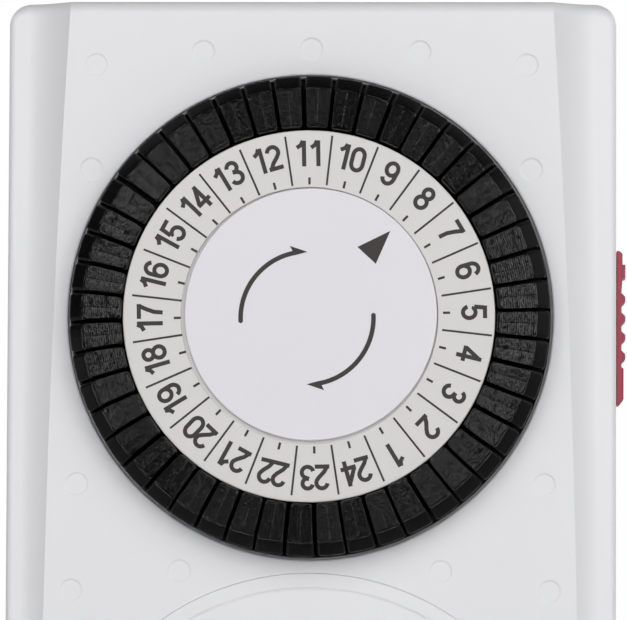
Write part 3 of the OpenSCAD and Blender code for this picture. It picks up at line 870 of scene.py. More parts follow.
@dataclass(frozen=True)
class Moulded(Finish):
    """Injection-moulded plastic with a fine eroded grain and a faint cloudiness."""

    grain: float = 9.0
    relief: float = 0.006
    cloud: float = 0.012
    specular: float = 0.5

    def shader(self, graph: Graph) -> Signal:
        """Colour drifts over centimetres; roughness and relief follow the grain.

        Args:
            graph: the material's graph.

        Returns:
            The surface.
        """
        place = self.places(graph)
        fine = self.noise(graph, place, self.grain)
        wide = self.noise(graph, place, 0.06)
        return graph.principled(
            {
                "Base Color": self.tinted(graph, wide, self.cloud),
                "Roughness": self.roughness - 0.05 + 0.1 * fine,
                "Specular IOR Level": self.specular,
                "Normal": self.bumped(graph, fine, self.relief),
            }
        )


@dataclass(frozen=True)
class Ribbed(Finish):
    """Black plastic with fine ribs across its top, smooth elsewhere."""

    top_colour: Colour = (0.0045, 0.0045, 0.0047)
    top_roughness: float = 0.21
    pitch: float = 0.24
    rib: float = 0.045
    grit: float = 0.014

    def top(self, graph: Graph, shade: Signal) -> Signal:
        """Surface of the top.

        Args:
            graph: the material's graph.
            shade: a random value for each piece, from 0 to 1.

        Returns:
            The shader.
        """
        lay = graph.node("ShaderNodeUVMap", {"uv_map": "lay"})
        apart = graph.node("ShaderNodeCombineXYZ", None, {"X": shade * 40, "Y": shade * 90, "Z": 0.0})
        spot = graph.vector("ADD", {0: lay, 1: apart})
        stretched = graph.vector("MULTIPLY", {0: spot, 1: (1.0, 3.2, 1.0)})
        streaks = self.noise(graph, stretched, 1.4, 2.0)
        grit = self.noise(graph, spot, 6.5, 3.0)
        along = graph.node("ShaderNodeSeparateXYZ", None, {0: spot}, output="Y")
        patches = self.noise(graph, spot, 1.1, 2.0)
        wave = ((along / self.pitch + 1.6 * streaks) * (2 * math.pi)).cosine() * 0.5
        wave = wave * ((patches - 0.32) * 3).at_least(0.06)
        relief = graph.node(
            "ShaderNodeBump",
            None,
            {
                "Strength": 1.0,
                "Distance": self.grit * MM,
                "Height": grit,
                "Normal": self.bumped(graph, wave, self.rib),
            },
        )
        light = graph.node(
            "ShaderNodeValToRGB",
            {"stops": [(0.3, (0.5, 0.5, 0.5)), (0.7, (1.5, 1.5, 1.5))]},
            {"Fac": streaks * 0.5 + grit * 0.5},
        )
        colour = graph.node(
            "ShaderNodeMix",
            {"data_type": "RGBA", "blend_type": "MULTIPLY"},
            {"Factor": 1.0, 6: self.top_colour, 7: light},
            output=2,
        )
        colour = graph.vector("SCALE", {0: colour, "Scale": shade + 0.5})
        return graph.principled(
            {
                "Base Color": colour,
                "Roughness": self.top_roughness - 0.06 + 0.1 * grit + 0.06 * shade,
                "Specular IOR Level": 0.5,
                "Normal": relief,
            }
        )

    def shader(self, graph: Graph) -> Signal:
        """Mixes the ribbed top and the smooth flanks by the mesh's "grained" mark.

        Args:
            graph: the material's graph.

        Returns:
            The surface.
        """
        grained = graph.node("ShaderNodeAttribute", {"attribute_name": "grained"}, output="Fac")
        shade = graph.node("ShaderNodeAttribute", {"attribute_name": "shade"}, output="Fac")
        fine = self.noise(graph, self.places(graph), 5.0)
        flank = graph.principled(
            {
                "Base Color": self.tinted(graph, fine, 0.3),
                "Roughness": self.roughness - 0.03 + 0.06 * fine,
                "Specular IOR Level": 0.05,
                "Normal": self.bumped(graph, fine, 0.004),
            }
        )
        top = self.top(graph, shade)
        return graph.node("ShaderNodeMixShader", None, {0: grained, 1: flank, 2: top})


@dataclass(frozen=True)
class Ink(Finish):
    """Printed ink with a slightly uneven tone."""

    def shader(self, graph: Graph) -> Signal:
        """A dull colour that varies over tenths of a millimetre.

        Args:
            graph: the material's graph.

        Returns:
            The surface.
        """
        spots = self.noise(graph, self.places(graph), 3.0)
        return graph.principled(
            {
                "Base Color": self.tinted(graph, spots, 0.15),
                "Roughness": self.roughness - 0.05 + 0.1 * spots,
                "Specular IOR Level": 0.35,
            }
        )


class Lay(Enum):
    """Direction of the fine lines that working leaves on metal."""

    ALONG_X = (0.15, 6.0, 6.0)
    ALONG_DEPTH = (6.0, 0.15, 6.0)
    ALONG_Z = (6.0, 6.0, 0.15)


@dataclass(frozen=True)
class Metal(Finish):
    """Drawn, rolled or plated metal with fine lines along its lay."""

    lay: Lay = Lay.ALONG_DEPTH
    relief: float = 0.002

    def shader(self, graph: Graph) -> Signal:
        """Lines along the lay move roughness and normals; stains move the colour.

        Args:
            graph: the material's graph.

        Returns:
            The surface.
        """
        place = self.places(graph)
        drawn = graph.vector("MULTIPLY", {0: place, 1: self.lay.value})
        lines = self.noise(graph, drawn, 1.0, 4.0)
        stains = self.noise(graph, place, 0.25)
        return graph.principled(
            {
                "Base Color": self.tinted(graph, stains, 0.06),
                "Metallic": 1.0,
                "Roughness": self.roughness - 0.06 + 0.12 * lines,
                "Normal": self.bumped(graph, lines, self.relief),
            }
        )


@dataclass(frozen=True)
class Stacked(Finish):
    """Edge of a stack of sheet iron: fine stripes over its depth."""

    sheet: float = 0.5

    def shader(self, graph: Graph) -> Signal:
        """Stripes at the thickness of a sheet, with rust-brown mottling.

        Args:
            graph: the material's graph.

        Returns:
            The surface.
        """
        place = self.places(graph)
        depth = graph.node("ShaderNodeSeparateXYZ", None, {0: place}, output="Y")
        stripe = (depth * (2 * math.pi / self.sheet)).cosine() * 0.5 + 0.5
        stains = self.noise(graph, place, 0.6)
        return graph.principled(
            {
                "Base Color": self.tinted(graph, (stripe + stains) * 0.5, 0.35),
                "Metallic": 1.0,
                "Roughness": self.roughness + 0.1 * stains,
                "Normal": self.bumped(graph, stripe, 0.02),
            }
        )


class Finishes:
    """The finishes of this timer."""

    housing = Moulded("housing_white", (0.765, 0.765, 0.785), 0.5)
    dial = Moulded("dial_white", (0.665, 0.65, 0.64), 0.45, relief=0.003)
    wheel = Moulded("wheel_black", (0.008, 0.008, 0.008), 0.5, cloud=0.2)
    disc = Moulded("disc_white", (0.74, 0.725, 0.765), 0.42, relief=0.002)
    tappet = Ribbed("tappet_black", (0.0045, 0.0045, 0.0045), 0.22)
    print = Ink("print_ink", (0.043, 0.038, 0.033), 0.5)
    slider = Moulded("slider_red", (0.41, 0.047, 0.078), 0.4, relief=0.004, cloud=0.05)
    nickel = Metal("pin_nickel", (0.78, 0.76, 0.71), 0.22)
    brass = Metal("strip_brass", (0.72, 0.52, 0.24), 0.3, Lay.ALONG_X)
    bronze = Metal("bronze", (0.66, 0.4, 0.22), 0.32, Lay.ALONG_Z)
    steel = Metal("steel", (0.6, 0.6, 0.61), 0.28)
    spring = Metal("spring_steel", (0.45, 0.45, 0.47), 0.3, Lay.ALONG_X)
    phenolic = Moulded("phenolic", (0.11, 0.055, 0.03), 0.5, cloud=0.25, relief=0.01)
    nylon = Moulded("nylon", (0.74, 0.69, 0.56), 0.42, cloud=0.03)
    resin = Moulded("plate_resin", (0.66, 0.6, 0.46), 0.48, cloud=0.04)
    copper = Metal("copper_wire", (0.72, 0.3, 0.16), 0.28, Lay.ALONG_Z)
    iron = Stacked("lamination", (0.3, 0.29, 0.28), 0.45)
    ferrite = Moulded("ferrite", (0.06, 0.06, 0.065), 0.6, cloud=0.2, relief=0.012)


# ------------ recipes


def dial_recipe() -> Recipe:
    """A tree that sets copies of the host round an axis along the depth.

    Returns:
        The recipe; its inputs are the axis' place, the radius and first angle of the
        copies, the step between them, their number, their random wander round the
        axis, tilt and sink with the seed, and the finish. Angles are in degrees,
        lengths in metres.
    """
    recipe = Recipe(
        "set round the dial",
        {
            "Vector": ["Axis"],
            "Float": ["Radius", "First angle", "Step", "Wander", "Tilt", "Sink"],
            "Int": ["Count", "Seed"],
            "Material": ["Finish"],
        },
    )
    index = recipe.node("GeometryNodeInputIndex")
    given = recipe.given
    seed = given("Seed")

    def chance(low: float, high: Any, start: Signal) -> Signal:
        """A random number for each copy."""
        inputs = {2: low, 3: high, "ID": index, "Seed": start}
        return recipe.node("FunctionNodeRandomValue", {"data_type": "FLOAT"}, inputs, output=1)

    wander = chance(-1.0, 1.0, seed + 7)
    turn = given("First angle") + given("Step") * index
    turn = (turn + wander * given("Wander")) * math.radians(1)
    drop = chance(0.0, given("Sink"), seed)
    away = {"X": turn.cosine() * given("Radius"), "Y": drop, "Z": turn.sine() * given("Radius")}
    spoke = recipe.node("ShaderNodeCombineXYZ", None, away)
    spot = recipe.vector("ADD", {0: given("Axis"), 1: spoke})
    points = recipe.node("GeometryNodePoints", None, {"Count": given("Count"), "Position": spot})
    facing = recipe.node(
        "FunctionNodeEulerToRotation",
        None,
        {0: recipe.node("ShaderNodeCombineXYZ", None, {"X": 0.0, "Y": 0 - turn, "Z": 0.0})},
    )
    lean = recipe.node(
        "FunctionNodeRandomValue",
        {"data_type": "FLOAT_VECTOR"},
        {0: (-1.0, 0.0, -1.0), 1: (1.0, 0.0, 1.0), "ID": index, "Seed": seed},
    )
    lean = recipe.vector("SCALE", {0: lean, "Scale": given("Tilt") * math.radians(1)})
    tilted = recipe.node(
        "FunctionNodeRotateRotation",
        {"rotation_space": "LOCAL"},
        {0: facing, 1: recipe.node("FunctionNodeEulerToRotation", None, {0: lean})},
    )
    copies = recipe.node(
        "GeometryNodeInstanceOnPoints",
        None,
        {"Points": points, "Instance": given("Geometry"), "Rotation": tilted},
    )
    shade = chance(0.0, 1.0, seed)
    marked = recipe.node(
        "GeometryNodeStoreNamedAttribute",
        {"data_type": "FLOAT", "domain": "INSTANCE"},
        {"Geometry": copies, "Name": "shade", "Value": shade},
    )
    recipe.ends_with(marked)
    return recipe


def spots_recipe() -> Recipe:
    """A tree that sets a copy of another object's mesh on each point of the host.

    Returns:
        The recipe; its inputs are the object that is copied and the finish.
    """
    recipe = Recipe("set on spots", {"Object": ["Pattern"], "Material": ["Finish"]})
    pattern = recipe.node(
        "GeometryNodeObjectInfo", None, {"Object": recipe.given("Pattern")}, output="Geometry"
    )
    points = recipe.node("GeometryNodeMeshToPoints", None, {"Mesh": recipe.given("Geometry")})
    copies = recipe.node(
        "GeometryNodeInstanceOnPoints", None, {"Points": points, "Instance": pattern}
    )
    recipe.ends_with(copies)
    return recipe


def winding_recipe() -> Recipe:
    """A tree that winds wire round an axis.

    Returns:
        The recipe; its inputs are the coil's radius and length, its turns, the wire's
        radius, the coil's start and turn, and the finish, with lengths in metres.
    """
    recipe = Recipe(
        "wound wire",
        {
            "Float": ["Coil radius", "Length", "Turns", "Wire radius"],
            "Int": ["Steps"],
            "Vector": ["Start", "Turn"],
            "Material": ["Finish"],
        },
    )
    given = recipe.given
    coil = {
        "Resolution": given("Steps"),
        "Rotations": given("Turns"),
        "Start Radius": given("Coil radius"),
        "End Radius": given("Coil radius"),
        "Height": given("Length"),
    }
    spiral = recipe.node("GeometryNodeCurveSpiral", None, coil)
    place = {"Geometry": spiral, "Translation": given("Start"), "Rotation": given("Turn")}
    laid = recipe.node("GeometryNodeTransform", None, place)
    size = {"Resolution": 6, "Radius": given("Wire radius")}
    section = recipe.node("GeometryNodeCurvePrimitiveCircle", None, size)
    wire = recipe.node("GeometryNodeCurveToMesh", None, {0: laid, 1: section, "Fill Caps": True})
    recipe.ends_with(wire)
    return recipe


def set_on_spots(name: str, spots: Iterable[Triple], pattern: Form, finish: Finish) -> Thing:
    """Copies a form, drawn round the origin, to places in the front view.

    Args:
        name: name of the new piece.
        spots: (x, depth, z) of each copy.
        pattern: the form that is copied.
        finish: the piece's finish.

    Returns:
        One object that holds all the copies.
    """
    model = pattern.made(f"{name}_pattern", finish)
    host = bpy.data.meshes.new(name)
    host.from_pydata([(x * MM, -depth * MM, z * MM) for x, depth, z in spots], [], [])
    thing = RECIPES["spots"].run(name, host, {"Pattern": model, "Finish": finish.material()})
    bpy.data.objects.remove(model)
    weigh_normals(thing)
    return thing


RECIPES = {"dial": dial_recipe(), "spots": spots_recipe(), "winding": winding_recipe()}


# ------------ housing


@dataclass
class FrontCover:
    """The front shell: raised front, coved shoulders, dimples and two round openings."""

    body: Extent = measured("front_cover")
    dial: Extent = measured("centre_disc")
    insert: Extent = measured("socket_insert")
    pip_rise: float = 0.25
    dimple: Triple = (1.08, 1.38, 0.13)
    corner: float = 2.5
    top_round: float = 1.45
    top_crease: float = math.radians(20)
    side_round: float = 0.8
    half_width: float = 30.3
    widest_z: float = -7.7
    side_arc: float = 1650.0
    cove_at_foot: float = 2.2
    cove_spread: float = 2.7
    cove_power: float = 1.5
    cove_end: Flat = (math.radians(36), math.radians(46))
    wall: float = 2.0
    lip: float = 1.5
    opening_r: float = 27.28
    opening_shift: Flat = (-0.05, -0.09)
    opening_round: float = 0.3
    ledge: Flat = (0.2, 1.0)
    rim_play: float = 0.02
    rim_round: float = 0.05
    rim_ledge: Flat = (1.9, 1.0)
    slot_half: float = 2.3
    slot_reach: Flat = (-9.2, 2.5)
    boss_inset: float = 3.8
    boss_r: Flat = (3.2, 1.5)

    def __post_init__(self) -> None:
        """Works out the outline, the depths and the openings."""
        box = self.body
        self.outline = Outline(box.left, -box.left, box.low, box.high, self.corner)
        self.front = box.front - self.pip_rise
        self.ceiling = self.front - self.wall * 2
        self.seam = box.back
        self.rim_r = self.insert.radius + self.rim_play
        x, z = self.dial.centre
        self.centre = (x + self.opening_shift[0], z + self.opening_shift[1])
        self.dimples = self.dimple_places()

    def half_front(self, z: float) -> float:
        """Half the width of the raised front at a height."""
        return self.half_width - (z - self.widest_z) ** 2 / (2 * self.side_arc)

    def up(self, z: float) -> float:
        """How far up the cover a height lies, from 0 to 1."""
        return (z - self.body.low) / (self.body.high - self.body.low)

    def cove_width(self, z: float) -> float:
        """Width of the cove, which grows towards the top."""
        return self.cove_at_foot + self.cove_spread * self.up(z) ** 2

    def toward_top(self, x: float, z: float) -> float:
        """1 beside the top or bottom edge, 0 beside the side edges, between at a corner.

        Args:
            x, z: the point.

        Returns:
            The share, from 0 to 1.
        """
        beside = max(self.body.right - abs(x), 0.0)
        above = max(min(self.body.high - z, z - self.body.low), 0.0)
        return beside / max(beside + above, TINY)

    def edge_round(self, x: float, z: float) -> float:
        """Width of the outer edge's rounding: larger at the top and bottom than at the sides."""
        return self.side_round + (self.top_round - self.side_round) * self.toward_top(x, z)

    def edge_drop(self, x: float, z: float) -> float:
        """How far the outer edge's rounding lowers a point.

        Args:
            x, z: the point.

        Returns:
            The drop, 0 inside the rounding.
        """
        width = self.edge_round(x, z)
        into = width - max(self.outline.inside(x, z), 0.0)
        if into <= 0.0:
            return 0.0
        crease = self.top_crease * self.toward_top(x, z)
        radius = width / (1 - math.sin(crease))
        return radius * (math.cos(crease) - math.cos(math.asin(math.sin(crease) + into / radius)))

    def dimple_drop(self, x: float, z: float) -> float:
        """How far the dimples lower a point.

        Args:
            x, z: the point.

        Returns:
            The drop, 0 away from them.
        """
        inner, outer, deep = self.dimple
        near = min(math.dist((x, z), spot) for spot in self.dimples)
        share = min(max((outer - near) / (outer - inner), 0.0), 1.0)
        return deep * share**2 * (3 - 2 * share)

    def depth(self, x: float, z: float) -> float:
        """Depth of the outer surface at a point of the front view.

        Args:
            x, z: the point.

        Returns:
            The depth.
        """
        width = self.cove_width(z)
        steepest = self.cove_end[0] + (self.cove_end[1] - self.cove_end[0]) * self.up(z)
        rise = width * math.tan(steepest) / self.cove_power
        beyond = min(max(abs(x) - self.half_front(z), 0.0), width)
        cove = self.front - rise * (1 - (1 - beyond / width) ** self.cove_power)
        drop = self.edge_drop(x, z) + self.dimple_drop(x, z)
        drop += fillet_drop(math.dist((x, z), self.centre) - self.opening_r, self.opening_round)
        drop += fillet_drop(math.hypot(x, z) - self.rim_r, self.rim_round)
        return min(cove, self.front) - drop

    def edge_loops(self) -> list[list[Flat]]:
        """Rows of points round the outer edge, at the steps of its rounding.

        Returns:
            The rows, from the edge inwards.
        """
        edge = self.outline.edge()
        return [
            [self.outline.moved_in(x, z, share * self.edge_round(x, z)) for x, z in edge]
            for share in shares(15)
        ]

    def hole_loops(self, centre: Flat, radius: float, rounding: float, count: int) -> list[list[Flat]]:
        """Rings of points at the steps of an opening's edge rounding."""
        return [ring(centre, radius + rounding * share, count) for share in shares(30)]

    def cove_lines(self) -> list[list[Flat]]:
        """Lines along both coves, from the raised front's edge to the shoulder.

        Returns:
            Nine lines on each side.
        """
        rows = 72
        heights = [
            self.body.low + (self.body.high - self.body.low) * k / rows for k in range(rows + 1)
        ]
        return [
            [(side * (self.half_front(z) + self.cove_width(z) * k / 8), z) for z in heights]
            for side in (-1, 1)
            for k in range(9)
        ]

    def kept(self, x: float, z: float) -> bool:
        """Whether the surface exists there, outside both openings."""
        return math.dist((x, z), self.centre) > self.opening_r and math.hypot(x, z) > self.rim_r

    def inner_rows(self) -> list[Stage]:
        """Rows of the outer wall, its seam, the lip's rebate and the inner wall.

        Returns:
            A stage for each row.
        """
        plan = [
            (0.0, self.seam + 0.25),
            (0.06, self.seam + 0.06),
            (0.25, self.seam),
            (self.wall / 2, self.seam),
            (self.wall / 2, self.seam + self.lip + 0.1),
            (self.wall, self.seam + self.lip + 0.1),
            (self.wall, self.ceiling),
        ]
        return [self.outline.row(*stage) for stage in plan]

    def shell(self) -> Form:
        """The whole shell as one closed form.

        Returns:
            The form, without slot and bosses.
        """
        form = Form()
        loops = self.edge_loops()
        loops += self.hole_loops(self.centre, self.opening_r, self.opening_round, 168)
        loops += self.hole_loops((0.0, 0.0), self.rim_r, self.rim_round, 168)
        inner, outer, _ = self.dimple
        for spot in self.dimples:
            loops += [ring(spot, inner + (outer - inner) * k / 4, 32) for k in range(5)]
        form.sheet(loops, self.cove_lines(), self.kept, self.depth)
        outer = form.rim(lambda x, z: self.outline.inside(x, z) < 0.01)
        dial = form.rim(lambda x, z: abs(math.dist((x, z), self.centre) - self.opening_r) < 0.02)
        rim = form.rim(lambda x, z: abs(math.hypot(x, z) - self.rim_r) < 0.02)
        under = self.front - self.rim_ledge[1]
        ledge = (self.rim_r - self.rim_ledge[0]) / self.rim_r
        inner = form.drawn(outer, *self.inner_rows())
        share = 1 - self.ledge[0] / self.opening_r
        cx, cz = self.centre
        bore = form.drawn(
            dial,
            lambda x, z: (x, self.front - self.ledge[1], z),
            lambda x, z: (cx + (x - cx) * share, self.front - self.ledge[1], cz + (z - cz) * share),
            lambda x, z: (cx + (x - cx) * share, self.ceiling, cz + (z - cz) * share),
        )
        seat_edge = form.drawn(
            rim,
            lambda x, z: (x, under, z),
            lambda x, z: (x * ledge, under, z * ledge),
            lambda x, z: (x * ledge, self.ceiling, z * ledge),
        )
        form.close(inner, bore, seat_edge)
        return form

    def dimple_places(self) -> list[Flat]:
        """Places of the dimples: by the edges, beside the dial and beside the socket.

        Returns:
            The middle of each dimple.
        """
        x = self.half_width - 3.2
        top, foot, dial_z, rim = self.body.high, self.body.low, self.centre[1], self.rim_r - 0.2
        right = [
            (x - 2.8, top - 7.3),
            (12.2, top - 5.8),
            (x - 2.3, dial_z + 16.7),
            (x - 0.8, dial_z - 18.8),
            (x - 0.2, rim - 1.8),
            (14.7, rim + 0.4),
            (x, 15.3),
            (x, -15.3),
            (x - 0.2, foot + 6),
            (14.7, foot + 3.8),
        ]
        return [(side * px, pz) for px, pz in right for side in (-1, 1)] + [(0.0, top - 5.5)]

    def build(self) -> None:
        """Builds the cover with the slider's slot and its screw bosses."""
        slider = extent("override_slider")
        middle = slider.centre[1]
        slider_d = (slider.back + slider.front) / 2
        form = self.shell()
        slot = Form().block(
            (self.body.right - self.wall - 1, self.body.right + 1),
            (slider_d - self.slot_half, slider_d + self.slot_half),
            (middle + self.slot_reach[0], middle + self.slot_reach[1]),
        )
        form.fused(slot)
        outer, bore = self.boss_r
        boss = [(outer, self.seam), (outer, self.ceiling), (bore, self.ceiling), (bore, self.seam)]
        inset = self.wall + self.boss_inset
        for x in (self.body.left + inset, -self.body.left - inset):
            for z in (self.body.low + inset, self.body.high - inset):
                form.lathe(boss, (x, z), 32)
        cover = form.made("front_shell", Finishes.housing)
        seat(cover, "housing", ["front_cover"])


@dataclass
class RearCover:
    """The rear shell with the plug's hole and four screw wells."""

    body: Extent = measured("rear_cover")
    screws: Extent = measured("cover_screws")
    corner: float = 2.5
    rounding: float = 1.3
    wall: float = 2.0
    lip: float = 1.5
    plug_hole_r: float = 18.6
    hole_round: float = 0.3
    well_r: float = 3.3
    well_round: float = 0.25
    boss_r: float = 4.2
    screw_hole_r: float = 1.65

    def __post_init__(self) -> None:
        """Works out the outline and the depths."""
        box = self.body
        self.outline = Outline(box.left, box.right, box.low, box.high, self.corner)
        self.back = box.back
        self.floor = box.back + self.wall
        self.seam = box.front - self.lip
        inset = self.wall + self.boss_r - 0.4
        self.spots = [
            (x, z)
            for x in (box.left + inset, box.right - inset)
            for z in (box.low + inset, box.high - inset)
        ]

    def depth(self, x: float, z: float) -> float:
        """Depth of the back at a point of the front view.

        Args:
            x, z: the point.

        Returns:
            The depth.
        """
        drop = fillet_drop(self.outline.inside(x, z), self.rounding)
        drop += fillet_drop(math.hypot(x, z) - self.plug_hole_r, self.hole_round)
        beyond = [math.dist((x, z), spot) - self.well_r for spot in self.spots]
        drop += sum(fillet_drop(away, self.well_round) for away in beyond)
        return self.back + drop

    def shell(self) -> Form:
        """The shell as one closed form, without its bosses.

        Returns:
            The form.
        """
        form = Form()
        edge = self.outline.edge(2.4)
        loops = [
            [self.outline.moved_in(x, z, share * self.rounding) for x, z in edge]
            for share in shares(18)
        ]
        steps = shares(30)
        loops += [ring((0.0, 0.0), self.plug_hole_r + self.hole_round * s, 120) for s in steps]
        loops += [ring(p, self.well_r + self.well_round * s, 40) for p in self.spots for s in steps]

        def kept(x: float, z: float) -> bool:
            """Whether the back exists there, outside its five holes."""
            wells = all(math.dist((x, z), p) > self.well_r for p in self.spots)
            return wells and math.hypot(x, z) > self.plug_hole_r

        form.sheet(loops, [], kept, self.depth)
        outer = form.rim(lambda x, z: self.outline.inside(x, z) < 0.01)
        holes = form.rim(lambda x, z: self.outline.inside(x, z) >= 0.01)
        plan = [
            (0.0, self.seam - 0.25),
            (0.06, self.seam - 0.06),
            (0.25, self.seam),
            (self.wall / 2 + 0.1, self.seam),
            (self.wall / 2 + 0.1, self.seam + self.lip),
            (self.wall, self.seam + self.lip),
            (self.wall, self.floor),
        ]
        inner = form.drawn(outer, *(self.outline.row(*stage) for stage in plan))
        bores = form.drawn(holes, lambda x, z: (x, self.floor, z))
        form.close(inner, bores)
        return form

    def build(self) -> None:
        """Builds the shell with its screw bosses."""
        form = self.shell()
        head = self.screws.back + 2
        boss = [(self.well_r, self.floor), (self.boss_r, self.floor), (self.boss_r, self.seam)]
        boss += [(self.screw_hole_r, self.seam), (self.screw_hole_r, head), (self.well_r, head)]
        for spot in self.spots:
            form.lathe(boss, spot, 40)
        cover = form.made("rear_shell", Finishes.housing)
        seat(cover, "housing", ["rear_cover"])
        screw = Form().lathe(
            eased([(0, 0, 0), (3.0, 0, 0.5), (3.0, 2, 0), (1.45, 2, 0), (1.45, 17, 0.5), (0, 17.7, 0)]),
            (0.0, 0.0),
            40,
        )
        for half in ((1.8, 0.4), (0.4, 1.8)):
            screw.fused(Form().block((-half[0], half[0]), (-1, 1.1), (-half[1], half[1])))
        spots = [(x, self.screws.back, z) for x, z in self.spots]
        screws = set_on_spots("cover_screw_set", spots, screw, Finishes.steel)
        seat(screws, "housing", ["cover_screws"])


# ------------ plug and socket


@dataclass
class Socket:
    """The round cup that takes a plug, with its raised rim, ribs and slots."""

    body: Extent = measured("socket_insert")
    pins: Extent = measured("plug_pins")
    well_r: float = 19.5
    well_depth: float = 17.5
    floor: float = 1.8
    wall: float = 1.8
    rim_band: float = 1.62
    rim_rise: float = 0.6
    boss_r: float = 1.8
    pin_hole_r: float = 2.8
    pin_d: float = 4.8

    def build(self) -> None:
        """Turns the cup, joins its two ribs and cuts its slots and pin holes."""
        box = self.body
        top = box.front
        shoulder = top - self.rim_rise
        ledge = shoulder - 1
        floor = top - self.well_depth
        under = floor - self.floor
        profile = eased(
            [
                (0, floor, 0),
                (0, box.back, 0),
                (self.boss_r, box.back, 0.2),
                (self.boss_r, under, 0),
                (self.well_r + self.wall, under, 0.6),
                (self.well_r + self.wall, ledge, 0),
                (box.radius, ledge, 0),
                (box.radius, shoulder, 0.04),
                (box.radius - self.rim_band, shoulder + 0.1, 0),
                (box.radius - self.rim_band - 0.06, shoulder + 0.02, 0),
                (box.radius - self.rim_band - 0.12, shoulder + 0.12, 0),
                (self.well_r + 2, top, 1.5),
                (self.well_r, top, 0.4),
                (self.well_r, floor, 0.6),
            ]
        )
        form = Form().lathe(profile, (0.0, 0.0), 160)
        r = self.pin_hole_r
        hole = [(0, under - 1), (r, under - 1), (r, floor - 0.35), (r + 0.45, floor + 0.1)]
        hole += [(r + 0.45, floor + 1), (0, floor + 1)]
        for side in (-1, 1):
            rib = sorted((side * (self.well_r - 1.9), side * (self.well_r + 0.9)))
            form.fused(Form().block(tuple(rib), (floor - 1, top - 2), (-2.2, 2.2)), "UNION")
            form.fused(Form().lathe(hole, (side * self.pin_pitch / 2, 0.0), 48))
            slot = sorted((side * (self.well_r - 0.5), side * (self.well_r + 2.5)))
            form.fused(Form().block((-3.3, 3.3), (under - 1, top - 4), tuple(slot)))
        cup = form.made("socket_cup", Finishes.housing, 0.12)
        seat(cup, "housing", ["socket_insert"])
        flap = Form.of_node("safety_shutter").made("shutter_flap", Finishes.housing, 0.2)
        seat(flap, "shutter", ["safety_shutter"])

    @property
    def pin_pitch(self) -> float:
        """Distance between the pins."""
        return self.pins.right - self.pins.left - self.pin_d


@dataclass
class Plug:
    """The round plug body with its pins and earth strap."""

    body: Extent = measured("plug_body")
    pins: Extent = measured("plug_pins")
    outer_r: float = 18.5
    flange: float = 1.0
    base: float = 3.0
    wall: float = 2.5
    pin_r: float = 2.4
    tang_r: float = 2.0

    def build(self) -> None:
        """Turns the plug body and the pins, and softens the strap's edges."""
        box = self.body
        flange_back = box.front - self.flange
        profile = eased(
            [
                (0, box.back, 0),
                (self.outer_r, box.back, 1.0),
                (self.outer_r, flange_back, 0),
                (box.radius, flange_back, 0.1),
                (box.radius, box.front, 0.1),
                (self.outer_r - self.wall, box.front, 0.1),
                (self.outer_r - self.wall, self.base, 0.3),
                (0, self.base, 0),
            ]
        )
        form = Form().lathe(profile, (0.0, 0.0), 144)
        pitch = self.pins.right - self.pins.left - 2 * self.pin_r
        for side in (-1, 1):
            pin_x = side * pitch / 2
            boss = [(self.tang_r, 1.0), (4.2, 1.0), (4.2, 14.0), (self.tang_r, 14.0)]
            form.fused(Form().lathe(boss, (pin_x, 0.0), 48), "UNION")
            hole = [(0, -1), (self.tang_r, -1), (self.tang_r, 15), (0, 15)]
            form.fused(Form().lathe(hole, (pin_x, 0.0), 48))
            recess = [(0, -1), (3.3, -1), (3.3, 0.35), (0, 0.35)]
            form.fused(Form().lathe(recess, (pin_x, 0.0), 64))
            notch = sorted((side * (self.outer_r - 2), side * 25.0))
            form.fused(Form().block(tuple(notch), (-1, 16.5), (-2.8, 2.8)))
            strap = sorted((side * (self.outer_r - 1.4), side * (self.outer_r + 0.4)))
            form.fused(Form().block((-3.2, 3.2), (1.5, box.front + 1), tuple(strap)))
        body = form.made("plug_cup", Finishes.housing, 0.15)
        seat(body, "housing", ["plug_body"])
        tip = self.pins.back
        pin = Form()
        tang, front = self.tang_r - 0.05, self.pins.front
        shape = [(0, tip, 0), (self.pin_r, tip, 1.0), (self.pin_r, 0.3, 0)]
        shape += [(tang, 0.3, 0), (tang, front, 0.2), (0, front, 0)]
        for side in (-1, 1):
            pin.lathe(eased(shape, 6), (side * pitch / 2, 0.0), 48)
        pins = pin.made("plug_pin_pair", Finishes.nickel)
        seat(pins, "housing", ["plug_pins"])
        strap = Form.of_node("earth_strap").made("earth_strap_bent", Finishes.brass, 0.15)
        seat(strap, "housing", ["earth_strap"])


# ------------ dial


@dataclass(frozen=True)
class Arc:
    """Part of an ellipse, from one angle in degrees to another."""

    x: float
    y: float
    rx: float
    ry: float
    start: float
    end: float

    def points(self) -> list[Flat]:
        """Points along the arc.

        Returns:
            The points, at least three.
        """
        count = max(round(abs(self.end - self.start) / 15), 2)
        angles = [self.start + (self.end - self.start) * k / count for k in range(count + 1)]
        turns = [math.radians(angle) for angle in angles]
        return [(self.x + self.rx * math.cos(t), self.y + self.ry * math.sin(t)) for t in turns]


